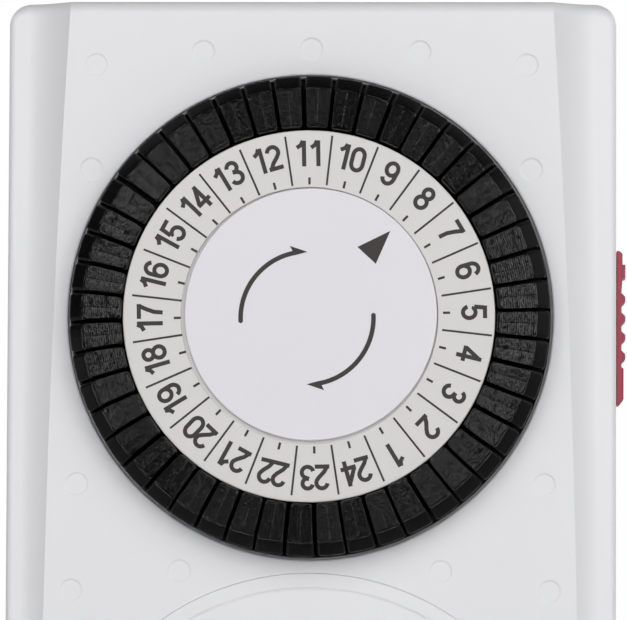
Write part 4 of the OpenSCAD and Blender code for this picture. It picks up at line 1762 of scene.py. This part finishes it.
@dataclass(frozen=True)
class Numerals:
    """Narrow bold numerals, made of strokes of one width; lengths in millimetres."""

    height: float = 2.9
    width: float = 1.75
    stroke: float = 0.47
    spacing: float = 1.6

    def strokes(self) -> dict[str, list[list[Flat | Arc]]]:
        """Paths of each figure's strokes, about the middle of the figure.

        Returns:
            The paths by figure.
        """
        h = (self.height - self.stroke) / 2
        w = (self.width - self.stroke) / 2
        e = self.stroke / 2
        low, up = -h + w, h - w
        waist = 0.12 * h
        return {
            "0": [
                [
                    Arc(0, up - 0.1, w, w + 0.1, 0, 180),
                    Arc(0, low + 0.1, w, w + 0.1, 180, 360),
                    (w, up - 0.1),
                ]
            ],
            "1": [
                [(0.24, h + e), (0.24, -h - e)],
                [(0.12, h + e * 0.9), (-0.12, h - 0.28), (-0.56, h - 0.56)],
            ],
            "2": [
                [
                    Arc(0, up, w * 0.98, w, 172, -22),
                    (w * 0.5, up - w * 0.95),
                    (-w * 0.42, -h + w * 0.9),
                    (-w * 0.84, -h + 0.1),
                ],
                [(-w - e * 0.9, -h), (w + e * 0.6, -h)],
            ],
            "3": [
                [Arc(0, h - w * 0.88, w * 0.9, w * 0.88, 168, -72), (-0.16, waist)],
                [(-0.16, waist), Arc(0, -h + w * 0.98, w, w * 0.98, 78, -168)],
            ],
            "4": [
                [(0.3, h + e), (0.3, -h - e)],
                [(0.34, h + e * 0.2), (-w - 0.02, -h * 0.42)],
                [(-w - e * 0.9, -h * 0.48), (w + e * 1.1, -h * 0.48)],
            ],
            "5": [
                [(w * 0.9 + e * 0.5, h), (-w * 0.82, h)],
                [(-w * 0.74, h + e), (-w * 0.98, 0.02)],
                [(-w * 0.98, 0.0), Arc(0, -h + w * 1.05, w, w * 1.1, 138, -165)],
            ],
            "6": [
                [Arc(0, up - 0.1, w, w + 0.1, 18, 180), (-w, low)],
                [Arc(0, -h + w * 1.12, w, w * 1.12, 0, 360)],
            ],
            "7": [
                [(-w - e * 0.8, h), (w + e * 0.8, h)],
                [(w * 0.98, h), (w * 0.35, h * 0.28), (-w * 0.12, -h * 0.4), (-w * 0.26, -h - e)],
            ],
            "8": [
                [Arc(0, h - w * 0.88, w * 0.86, w * 0.88, 0, 360)],
                [Arc(0, -h + w * 1.02, w, w * 1.02, 0, 360)],
            ],
            "9": [
                [Arc(0, low + 0.1, w, w + 0.1, -162, 0), (w, up)],
                [Arc(0, h - w * 1.12, w, w * 1.12, 0, 360)],
            ],
        }

    def ribbon(self, path: Iterable[Flat | Arc]) -> list[list[Flat]]:
        """Quads that cover a path at the width of a stroke.

        Args:
            path: points and arcs of the stroke's middle.

        Returns:
            The quads, which share their corners.
        """
        line: list[Flat] = []
        for item in path:
            line += item.points() if isinstance(item, Arc) else [item]
        spots = [Vector(line[0])]
        for point in line[1:]:
            if (Vector(point) - spots[-1]).length > 0.01:
                spots.append(Vector(point))
        ring_shut = (spots[0] - spots[-1]).length < 0.02
        normals = []
        for k, spot in enumerate(spots):
            ahead = spots[k + 1] - spot if k + 1 < len(spots) else None
            behind = spot - spots[k - 1] if k else None
            if ring_shut and ahead is None:
                ahead = spots[1] - spot
            if ring_shut and behind is None:
                behind = spot - spots[-2]
            way = sum((v.normalized() for v in (ahead, behind) if v), Vector((0, 0)))
            normals.append(Vector((-way.y, way.x)).normalized() * self.stroke / 2)
        quads = []
        for k in range(len(spots) - 1):
            a, b, na, nb = spots[k], spots[k + 1], normals[k], normals[k + 1]
            quads.append([tuple(a - na), tuple(b - nb), tuple(b + nb), tuple(a + na)])
        return quads

    def number(self, value: int) -> list[list[Flat]]:
        """Shapes of a whole number, about its middle.

        Args:
            value: the number.

        Returns:
            The quads of all its figures.
        """
        drawn = self.strokes()
        figures = str(value)
        shapes: list[list[Flat]] = []
        for k, figure in enumerate(figures):
            shift = (k - (len(figures) - 1) / 2) * self.spacing
            for path in drawn[figure]:
                shapes += [moved(quad, (shift, 0.0)) for quad in self.ribbon(path)]
        return shapes


@dataclass
class Dial:
    """The turning number ring with its print, on the wheel that carries it."""

    ring: Extent = measured("number_ring")
    disc: Extent = measured("centre_disc")
    numerals: Numerals = Numerals()
    hours: int = 24
    bore_r: float = 14.4
    step_r: float = 13.75
    step_down: float = 0.5
    play: Flat = (-0.09, -0.17)
    bore_play: Flat = (0.07, 0.06)
    print_shift: Flat = (0.25, -0.076)
    print_turn: float = 1.2
    number_r: float = 18.16
    top_number: int = 11
    line: Triple = (14.67, 20.27, 0.23)
    tick: Triple = (14.67, 15.47, 0.27)
    ink: Flat = (-0.004, 0.012)

    def __post_init__(self) -> None:
        """Works out the ring's place."""
        x, z = self.disc.centre
        self.centre = (x + self.play[0], z + self.play[1])
        self.print_centre = (x + self.print_shift[0], z + self.print_shift[1])

    def marks(self, name: str, size: Triple, first: float) -> None:
        """Prints one mark for each hour.

        Args:
            name: name of the piece.
            size: inner radius, outer radius and width of a mark.
            first: angle of the first mark, in degrees.
        """
        inner, outer, width = size
        middle = (inner + outer) / 2
        half = (outer - inner) / 2
        bar = Form().block((-half, half), self.ink, (-width / 2, width / 2))
        host = bar.to_mesh(name)
        host.transform(Matrix.Scale(MM, 4))
        x, z = self.print_centre
        values = {
            "Axis": (x * MM, -self.ring.front * MM, z * MM),
            "Radius": middle * MM,
            "First angle": first,
            "Step": 360 / self.hours,
            "Count": self.hours,
            "Finish": Finishes.print.material(),
        }
        piece = RECIPES["dial"].run(name, host, values)
        seat(piece, "dial")

    def build(self) -> None:
        """Builds the ring and its print."""
        ring = self.ring
        profile = eased(
            [
                (self.step_r, ring.back, 0),
                (ring.radius, ring.back, 0),
                (ring.radius, ring.front, 0.15),
                (self.bore_r, ring.front, 0.1),
                (self.bore_r, ring.front - self.step_down, 0),
                (self.step_r, ring.front - self.step_down, 0),
            ]
        )
        form = Form().lathe(profile, self.centre, 192)
        middle = Vector((self.centre[0], 0.0, self.centre[1]))
        for vert in form.mesh.verts:
            away = vert.co - middle
            if math.hypot(away.x, away.z) < (self.bore_r + ring.radius) / 2:
                vert.co.x += self.bore_play[0]
                vert.co.z += self.bore_play[1]
        seat(form.made("number_band", Finishes.dial), "dial", ["number_ring"])
        step = 360 / self.hours
        top = 90 + self.print_turn
        self.marks("hour_lines", self.line, top + step / 2)
        self.marks("half_hour_ticks", self.tick, top)
        figures = Form()
        depth = (ring.front + self.ink[0], ring.front + self.ink[1])
        for number in range(1, self.hours + 1):
            angle = top + (number - self.top_number) * step
            spot = around(self.print_centre, self.number_r, angle)
            shapes = [moved(s, spot, angle - 90) for s in self.numerals.number(number)]
            figures.plate(shapes, depth)
        seat(figures.made("hour_numbers", Finishes.print), "dial")
        dress("dial_wheel", Finishes.wheel)


@dataclass
class Tappets:
    """The push-in tappets, two to each hour, on a ring round the numbers."""

    dial: Extent = measured("centre_disc")
    first: Extent = measured("tappets_01")
    hours: int = 24
    turn: float = 1.65
    gap: float = 0.3
    anchor_r: float = 24.0
    inner_r: float = 21.02
    outer_r: float = 26.95
    play: Flat = (-0.06, -0.08)
    head: float = 5.7
    corner: float = 0.4
    groove: float = 0.05
    sharp_share: float = 0.2
    stem_r: float = 23.625
    stem_half: float = 0.95
    wander: float = 0.13
    tilt: float = 0.5
    sink: float = 0.08
    clearance: float = 0.03

    def plan(self, inner: float, outer: float, inset: float) -> list[Flat]:
        """Outline of a head: inner side, flank, outer side and the other flank.

        Args:
            inner: inner radius.
            outer: outer radius.
            inset: how far the flanks stand in.

        Returns:
            Points relative to the anchor, with the first coordinate along the radius.
        """
        half = math.radians(90 / self.hours)

        def flank(r: float, side: int) -> Triple:
            """Corner of the outline at a radius; one flank's edge is hardly rounded.

            Args:
                r: the radius.
                side: -1 or 1, the flank.

            Returns:
                The corner and its radius.
            """
            away = self.gap / 2 + inset * (1.0 if side > 0 else self.sharp_share)
            x = r * math.cos(half) + away * math.sin(half) - self.anchor_r
            return x, side * (r * math.sin(half) - away * math.cos(half)), self.corner

        def arc(r: float, z: float) -> Triple:
            """Point of an edge that follows a radius."""
            return math.sqrt(r**2 - z**2) - self.anchor_r, z, 0.0

        g = self.groove
        corners = [flank(inner, -1), flank(outer, -1)]
        corners += [arc(outer, z) for z in (-0.8, -g, 0.0, g, 0.8)]
        corners += [flank(outer, 1), flank(inner, 1)]
        corners += [arc(inner, z) for z in (g, 0.0, -g)]
        return eased(corners, 3)

    def head_mesh(self, name: str) -> bpy.types.Mesh:
        """One tappet about its anchor, with its grained faces marked.

        Args:
            name: name of the mesh.

        Returns:
            The mesh, in metres.
        """
        top = self.head - self.clearance
        rows = [
            (0.0, 0.0, 0.1, 0.05),
            (0.12, 0.0, 0.0, 0.0),
            (top - 2.1, 0.0, 0.0, 0.0),
            (top - 1.92, 0.0, 0.03, 0.0),
            (top - 1.78, 0.0, 0.14, 0.0),
            (top - 0.6, 0.0, 1.05, 0.0),
            (top - 0.28, 0.06, 1.35, 0.02),
            (top - 0.12, 0.16, 1.5, 0.06),
            (top - 0.04, 0.28, 1.58, 0.12),
            (top, 0.4, 1.65, 0.2),
        ]
        form = Form()
        mark = form.mesh.faces.layers.float.new("grained")
        loops = [
            form.row((x, d, z) for x, z in self.plan(self.inner_r + i, self.outer_r - o, inset))
            for d, i, o, inset in rows
        ]
        for k, (a, b) in enumerate(zip(loops, loops[1:])):
            start = len(form.mesh.faces)
            form.band(a, b)
            form.mesh.faces.ensure_lookup_table()
            for face in form.mesh.faces[start:]:
                face[mark] = float(k >= len(rows) - 4)
        form.face(loops[0])
        last = loops[-1]
        count = len(last)
        outer_mid, inner_mid = 10, count - 2
        for k in (outer_mid, inner_mid):
            last[k].co.y += self.groove
        low = form.face([last[count - 1], *last[:outer_mid]])
        high = form.face(last[outer_mid + 1 : inner_mid])
        dips = [
            form.face([last[outer_mid - 1], last[outer_mid], last[inner_mid], last[count - 1]]),
            form.face([last[outer_mid], last[outer_mid + 1], last[inner_mid - 1], last[inner_mid]]),
        ]
        for face in (low, high, *dips):
            face[mark] = 1.0
        lay = form.mesh.loops.layers.uv.new("lay")
        for face in form.mesh.faces:
            for loop in face.loops:
                loop[lay].uv = (loop.vert.co.z, loop.vert.co.x)
        s = self.stem_half
        x = self.stem_r - self.anchor_r
        stem_end = self.first.back - (self.first.front - self.head)
        form.block((x - s, x + s), (stem_end, 0.05), (-s, s))
        mesh = form.to_mesh(name)
        mesh.transform(Matrix.Scale(MM, 4))
        return mesh

    def build(self) -> None:
        """Sets two tappets for each hour, with a little wander, tilt and sink."""
        x, z = self.dial.centre
        x += self.play[0]
        z += self.play[1]
        pitch = 180 / self.hours
        back = self.first.front - self.head
        for hour in range(1, self.hours + 1):
            name = f"tappet_pair_{hour:02d}"
            values = {
                "Axis": (x * MM, -back * MM, z * MM),
                "Radius": self.anchor_r * MM,
                "First angle": 90 + self.turn - (2 * hour - 1.5) * pitch,
                "Step": -pitch,
                "Count": 2,
                "Wander": self.wander,
                "Tilt": self.tilt,
                "Sink": self.sink * MM,
                "Seed": 11 + hour,
                "Finish": Finishes.tappet.material(),
            }
            pair = RECIPES["dial"].run(name, self.head_mesh(name), values)
            weigh_normals(pair)
            node = f"tappets_{hour:02d}"
            seat(pair, node, [node])


@dataclass
class CentreDisc:
    """The fixed disc in the dial with its pointer and turning arrows."""

    body: Extent = measured("centre_disc")
    radius: float = 14.14
    play: Flat = (0.125, 0.04)
    neck_r: float = 13.4
    brim: float = 0.3
    thick: float = 1.5
    print_shift: Flat = (-0.29, -0.38)
    arrow_r: float = 7.44
    arrow_turns: Triple = (183.4, 102.4, 89.8)
    stroke: float = 0.52
    pointer: tuple[Flat, ...] = ((9.02, 9.41), (5.33, 7.6), (7.39, 5.7))
    ink: Flat = (-0.004, 0.012)

    def arrow(self) -> list[Flat]:
        """An arc that ends in a half arrowhead, about the print's middle.

        Returns:
            The closed outline.
        """
        inner = self.arrow_r - self.stroke / 2
        outer = self.arrow_r + self.stroke / 2
        start, neck, tip = self.arrow_turns
        steps = 28
        away = [around((0.0, 0.0), outer, start + (neck - start) * k / steps) for k in range(steps + 1)]
        head = [
            around((0.0, 0.0), outer + 0.62, neck + 1.2),
            around((0.0, 0.0), self.arrow_r - 0.02, tip),
            around((0.0, 0.0), inner + 0.06, tip + 6),
        ]
        home = [
            around((0.0, 0.0), inner, start + (neck - 3 - start) * (1 - k / steps))
            for k in range(steps + 1)
        ]
        round_end = around((0.0, 0.0), self.arrow_r, start + 1.4)
        return [*away, *head, *home, round_end]

    def build(self) -> None:
        """Builds the disc with its hub, and prints on it."""
        box = self.body
        x, z = box.centre
        centre = (x + self.play[0], z + self.play[1])
        under = box.front - self.thick
        disc = Form.of_node("centre_disc")
        bmesh.ops.bisect_plane(
            disc.mesh,
            geom=[*disc.mesh.verts, *disc.mesh.edges, *disc.mesh.faces],
            plane_co=(0, -under + 0.05, 0),
            plane_no=(0, -1, 0),
            clear_outer=True,
        )
        open_edges = [e for e in disc.mesh.edges if e.is_boundary]
        bmesh.ops.holes_fill(disc.mesh, edges=open_edges)
        profile = eased(
            [
                (0, under, 0),
                (self.neck_r, under, 0.1),
                (self.neck_r, box.front - self.brim, 0),
                (self.radius, box.front - self.brim, 0.05),
                (self.radius, box.front, 0.15),
                (0, box.front, 0),
            ]
        )
        disc.lathe(profile, centre, 192)
        piece = disc.made("centre_cap", Finishes.disc)
        seat(piece, "housing", ["centre_disc"])
        depth = (box.front + self.ink[0], box.front + self.ink[1])
        middle = (x + self.print_shift[0], z + self.print_shift[1])
        pointer = [(x + px, z + pz) for px, pz in self.pointer]
        shapes = [pointer, moved(self.arrow(), middle), moved(self.arrow(), middle, 180)]
        marks = Form().plate(shapes, depth).made("pointer_and_arrows", Finishes.print)
        seat(marks, "housing")


# ------------ slider and inside


@dataclass
class OverrideSlider:
    """The ribbed slider in the side wall."""

    box: Extent = measured("override_slider")
    top: float = 65.51
    foot: float = 48.02
    base: float = 1.05
    valley: float = 0.52
    crest: float = 0.07
    grips: tuple[float, ...] = (53.53, 55.71, 57.84, 60.03)
    nub: Flat = (62.45, 63.97)
    pad: Flat = (48.7, 52.2)
    neck: tuple[Flat, Flat] = ((44.52, 48.46), (53.12, 60.08))
    inset: float = 0.6
    rounding: float = 0.12

    def profile(self) -> list[Flat]:
        """Outline of the ribs, the nub and the pad in the front view.

        Returns:
            The closed outline.
        """
        base = self.box.right - self.base
        low = self.box.right - self.valley
        high = self.box.right - self.crest
        face = low + 0.12
        corners = [(base, self.foot, 0.0), (low - 0.2, self.foot + 0.1, 0.25)]
        corners += [(low + 0.25, self.pad[0], 0.3), (low + 0.25, self.pad[1], 0.08)]
        corners += [(low, self.pad[1] + 0.15, 0.08)]
        for z in self.grips:
            corners += [(low, z - 0.72, 0.2), (high, z - 0.3, 0.25)]
            corners += [(high, z + 0.3, 0.25), (low, z + 0.72, 0.2)]
        for x, z in ((face, self.nub[0]), (high, self.nub[0]), (high, self.nub[1])):
            corners.append((x, z, 0.0))
        corners += [(face, self.nub[1], 0.0), (face, self.top - 0.3, 0.2)]
        corners += [(low - 0.2, self.top, 0.15), (base, self.top, 0.0)]
        return eased(corners, 4)

    def build(self) -> None:
        """Puts a finer button on the frame's neck and softens its edges."""
        box = self.box
        base = box.right - self.base
        low = box.right - self.valley
        inner = Form.of_node("override_slider")
        inner.fused(Form().block((base - 0.03, box.right + 1), (0, 99), (0, 99)))
        inner.fused(Form().block((base - 0.6, base + 0.2), *self.neck), "UNION")
        plain = [(base, self.foot + 0.05), (low - 0.25, self.foot + 0.15), (low, self.pad[0])]
        plain += [(low, self.top - 0.35), (low - 0.2, self.top - 0.05), (base, self.top - 0.05)]
        slider = Form().plate([plain], (box.back, box.front))
        ribs = Form().plate([self.profile()], (box.back + self.inset, box.front - self.inset))
        slider.fused(ribs, "UNION").fused(inner, "UNION")
        button = slider.made("ribbed_slider", Finishes.slider, self.rounding, clamp=True)
        seat(button, "override", ["override_slider"])


def dress(node: str, finish: Finish) -> None:
    """Gives a frame node a finish.

    Args:
        node: name of the node.
        finish: its finish.
    """
    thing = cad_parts[node]
    if not thing.material_slots:
        thing.data.materials.append(None)
    for slot in thing.material_slots:
        slot.material = finish.material()
    log.info("%s keeps its shape, finish %s", node, finish.name)


@dataclass
class Inside:
    """Current path, switch, motor and gear train behind the covers."""

    winding: Extent = measured("coil_winding")
    wire_r: float = 0.17
    finishes: tuple[tuple[Finish, tuple[str, ...]], ...] = (
        (Finishes.brass, ("live_bar", "neutral_bar", "switched_bar")),
        (Finishes.bronze, ("socket_contacts", "moving_blade")),
        (Finishes.phenolic, ("contact_tray", "switch_base")),
        (Finishes.nylon, ("feeler_lever", "coil_bobbin")),
        (Finishes.nylon, ("third_wheel", "clutch_wheel", "output_wheel")),
        (Finishes.steel, ("feeler_pin", "plate_screws", "rotor_pinion", "clutch_arbor")),
        (Finishes.resin, ("back_plate", "front_plate")),
        (Finishes.iron, ("stator_core",)),
        (Finishes.copper, ("coil_winding",)),
        (Finishes.ferrite, ("rotor_magnet",)),
        (Finishes.spring, ("clutch_spring", "shutter_spring", "feeler_spring")),
    )

    def build(self) -> None:
        """Dresses the nodes and winds the coil's outer layer."""
        for finish, nodes in self.finishes:
            for node in nodes:
                dress(node, finish)
        box = self.winding
        z = box.centre[1]
        depth = (box.back + box.front) / 2
        radius = (box.high - box.low) / 2 - self.wire_r
        length = box.right - box.left - 2 * self.wire_r
        host = bpy.data.meshes.new("outer_turns")
        values = {
            "Coil radius": radius * MM,
            "Length": length * MM,
            "Turns": length / (2.1 * self.wire_r),
            "Steps": 28,
            "Wire radius": self.wire_r * MM,
            "Start": ((box.left + self.wire_r) * MM, -depth * MM, z * MM),
            "Turn": (0.0, math.pi / 2, 0.0),
            "Finish": Finishes.copper.material(),
        }
        turns = RECIPES["winding"].run("outer_turns", host, values)
        seat(turns, "housing")


# ------------ studio


@dataclass
class Studio:
    """Camera, lamps, floor and surroundings."""

    camera_at: Triple = (22.0, -800.0, 23.8)
    yaw: float = 1.66
    pitch: float = 2.67
    roll: float = -0.107
    focal_pixels: float = 6632.0
    picture_width: float = 627.0
    ambient: float = 0.04
    ambient_behind: float = 1.25
    tent_r: float = 2.2
    tent_end: float = math.radians(150)
    window: Flat = (math.radians(83), math.radians(38))
    ground_size: float = 2.2
    ground_ahead: float = 2.26
    floor_r: float = 6.0
    floor_grey: float = 0.86
    fade: Flat = (0.4, 1.2)
    target: Triple = (0.0, -0.05, 0.03)

    def camera(self) -> None:
        """Sets the camera at the angle from which the timer is shown."""
        data = bpy.data.cameras.new("camera")
        data.sensor_width = 36.0
        data.sensor_fit = "HORIZONTAL"
        data.lens = data.sensor_width * self.focal_pixels / self.picture_width
        data.clip_start, data.clip_end = 0.05, 50.0
        thing = linked(bpy.data.objects.new("camera", data))
        turn = (
            Matrix.Rotation(math.radians(self.roll), 4, "Y")
            @ Matrix.Rotation(math.radians(self.pitch), 4, "X")
            @ Matrix.Rotation(math.radians(self.yaw), 4, "Z")
            @ Matrix.Rotation(math.radians(90), 4, "X")
        )
        thing.matrix_world = Matrix.Translation(Vector(self.camera_at) * MM) @ turn
        bpy.context.scene.camera = thing

    def lamp(self, name: str, place: Vector, size: Flat, power: float) -> Thing:
        """Adds a soft box that faces the timer; lengths in metres, power in watts.

        Args:
            name: name of the lamp.
            place: where it hangs.
            size: its width and height.
            power: its power.

        Returns:
            The lamp.
        """
        data = bpy.data.lights.new(name, "AREA")
        data.shape = "RECTANGLE"
        data.size, data.size_y = size
        data.energy = power
        thing = linked(bpy.data.objects.new(name, data))
        thing.location = place
        way = Vector(self.target) - place
        thing.rotation_euler = way.to_track_quat("-Z", "Y").to_euler()
        return thing

    @staticmethod
    def seen(graph: Graph) -> Signal:
        """1 for camera, glossy and transmission rays, 0 for all others.

        Args:
            graph: graph of the material or the world.

        Returns:
            The mask.
        """
        rays = [
            graph.node("ShaderNodeLightPath", output=f"Is {kind} Ray")
            for kind in ("Camera", "Glossy", "Transmission")
        ]
        return rays[0].at_least(rays[1]).at_least(rays[2])

    def surroundings(self) -> None:
        """White to the camera and in reflections, otherwise dim in front and light behind."""
        world = bpy.data.worlds.new("surroundings")
        world.use_nodes = True
        world.node_tree.nodes.clear()
        graph = Graph(world.node_tree)
        way = graph.node("ShaderNodeTexCoord", output="Generated")
        behind = graph.node("ShaderNodeSeparateXYZ", None, {0: way}, output="Y").at_least(0.0)
        light = self.ambient + self.ambient_behind * behind * behind
        seen = self.seen(graph)
        strength = light * (1 - seen) + seen
        glow = graph.node(
            "ShaderNodeBackground", None, {"Color": (1.0, 1.0, 1.0), "Strength": strength}
        )
        graph.node("ShaderNodeOutputWorld", None, {"Surface": glow})
        world.cycles.sampling_method = "NONE"
        bpy.context.scene.world = world

    def floor(self, height: float) -> None:
        """A pale floor that keeps the shadow and fades into the white far away.

        Args:
            height: its height, in metres.
        """
        mesh = bpy.data.meshes.new("floor")
        form = bmesh.new()
        bmesh.ops.create_circle(form, cap_ends=True, radius=self.floor_r, segments=96)
        form.to_mesh(mesh)
        form.free()
        mesh.transform(Matrix.Translation((0, 0, height)))
        thing = linked(bpy.data.objects.new("floor", mesh))
        material = bpy.data.materials.new("pale_floor")
        material.use_nodes = True
        material.node_tree.nodes.clear()
        graph = Graph(material.node_tree)
        spot = graph.node("ShaderNodeTexCoord", output="Object")
        away = graph.node("ShaderNodeVectorMath", {"operation": "LENGTH"}, {0: spot}, output="Value")
        fade = ((away - self.fade[0]) / self.fade[1]).at_least(0.0).at_most(1.0)
        grey = (self.floor_grey,) * 3
        near = graph.node("ShaderNodeBsdfDiffuse", None, {"Color": grey, "Roughness": 0.5})
        far = graph.node("ShaderNodeEmission", None, {"Color": (1.0, 1.0, 1.0), "Strength": 1.0})
        mixed = graph.node("ShaderNodeMixShader", None, {0: fade * self.seen(graph), 1: near, 2: far})
        graph.node("ShaderNodeOutputMaterial", None, {"Surface": mixed})
        mesh.materials.append(material)

    def cloth(self, name: str, form: bmesh.types.BMesh) -> None:
        """Hangs a black cloth that only reflections show.

        Args:
            name: name of the cloth.
            form: its shape, in metres, which is used up.
        """
        mesh = bpy.data.meshes.new(name)
        form.to_mesh(mesh)
        form.free()
        thing = linked(bpy.data.objects.new(name, mesh))
        material = bpy.data.materials.get("black_cloth")
        if material is None:
            material = bpy.data.materials.new("black_cloth")
            material.use_nodes = True
            material.node_tree.nodes.clear()
            graph = Graph(material.node_tree)
            dark = graph.node("ShaderNodeBsdfDiffuse", None, {"Color": (0.0, 0.0, 0.0)})
            graph.node("ShaderNodeOutputMaterial", None, {"Surface": dark})
        mesh.materials.append(material)
        thing.visible_camera = False
        thing.visible_diffuse = False
        thing.visible_transmission = False
        thing.visible_shadow = False

    def tent(self, floor: float) -> None:
        """Hangs black cloth round the front, open at the right, and lays some in front.

        Args:
            floor: height of the floor, in metres.
        """
        tent = bmesh.new()
        bmesh.ops.create_uvsphere(tent, u_segments=72, v_segments=36, radius=self.tent_r)
        bmesh.ops.rotate(tent, matrix=Matrix.Rotation(math.radians(90), 3, "X"), verts=tent.verts)
        ahead = Vector((0.0, -1.0, 0.0))

        def open_there(face: bmesh.types.BMFace) -> bool:
            """Whether the tent has no cloth there.

            Args:
                face: a face of the tent.

            Returns:
                True where it is open.
            """
            way = face.calc_center_median()
            off = way.angle(ahead)
            beside = abs(math.atan2(way.z, way.x)) < self.window[1]
            return off > self.tent_end or (beside and off > self.window[0])

        gone = [face for face in tent.faces if open_there(face)]
        bmesh.ops.delete(tent, geom=gone, context="FACES")
        self.cloth("cloth_tent", tent)
        ground = bmesh.new()
        bmesh.ops.create_grid(ground, size=self.ground_size)
        place = (0.0, -self.ground_ahead, floor + 0.001)
        bmesh.ops.translate(ground, vec=place, verts=ground.verts)
        self.cloth("cloth_ground", ground)

    def build(self) -> None:
        """Sets up the whole studio."""
        self.camera()
        for name, place, power in (
            ("gloss_box_right", Vector((0.7, -1.1, 0.21)), 5.9),
            ("gloss_box_left", Vector((-0.7, -1.1, 0.52)), 5.0),
        ):
            self.lamp(name, place, (0.9, 0.5), power).visible_diffuse = False
        key = self.lamp("soft_box_front", Vector((0.15, -1.6, 0.68)), (2.6, 1.9), 35.0)
        key.visible_glossy = False
        self.lamp("soft_box_behind_right", Vector((1.0, 1.15, 0.6)), (0.4, 0.4), 8.0)
        self.lamp("soft_box_behind_left", Vector((-0.8, 1.38, 0.6)), (0.4, 0.4), 7.0)
        self.surroundings()
        floor = CAD_BOX[0].z - 0.0002
        self.tent(floor)
        self.floor(floor)
        bpy.context.scene.view_settings.view_transform = "Standard"


def main() -> None:
    """Builds the timer's pieces in order, then the studio."""
    logging.basicConfig(level=logging.INFO, format="%(message)s")
    for part in (
        FrontCover(),
        RearCover(),
        Socket(),
        Plug(),
        Dial(),
        Tappets(),
        CentreDisc(),
        OverrideSlider(),
        Inside(),
        Studio(),
    ):
        part.build()


if __name__ == "__main__":
    main()
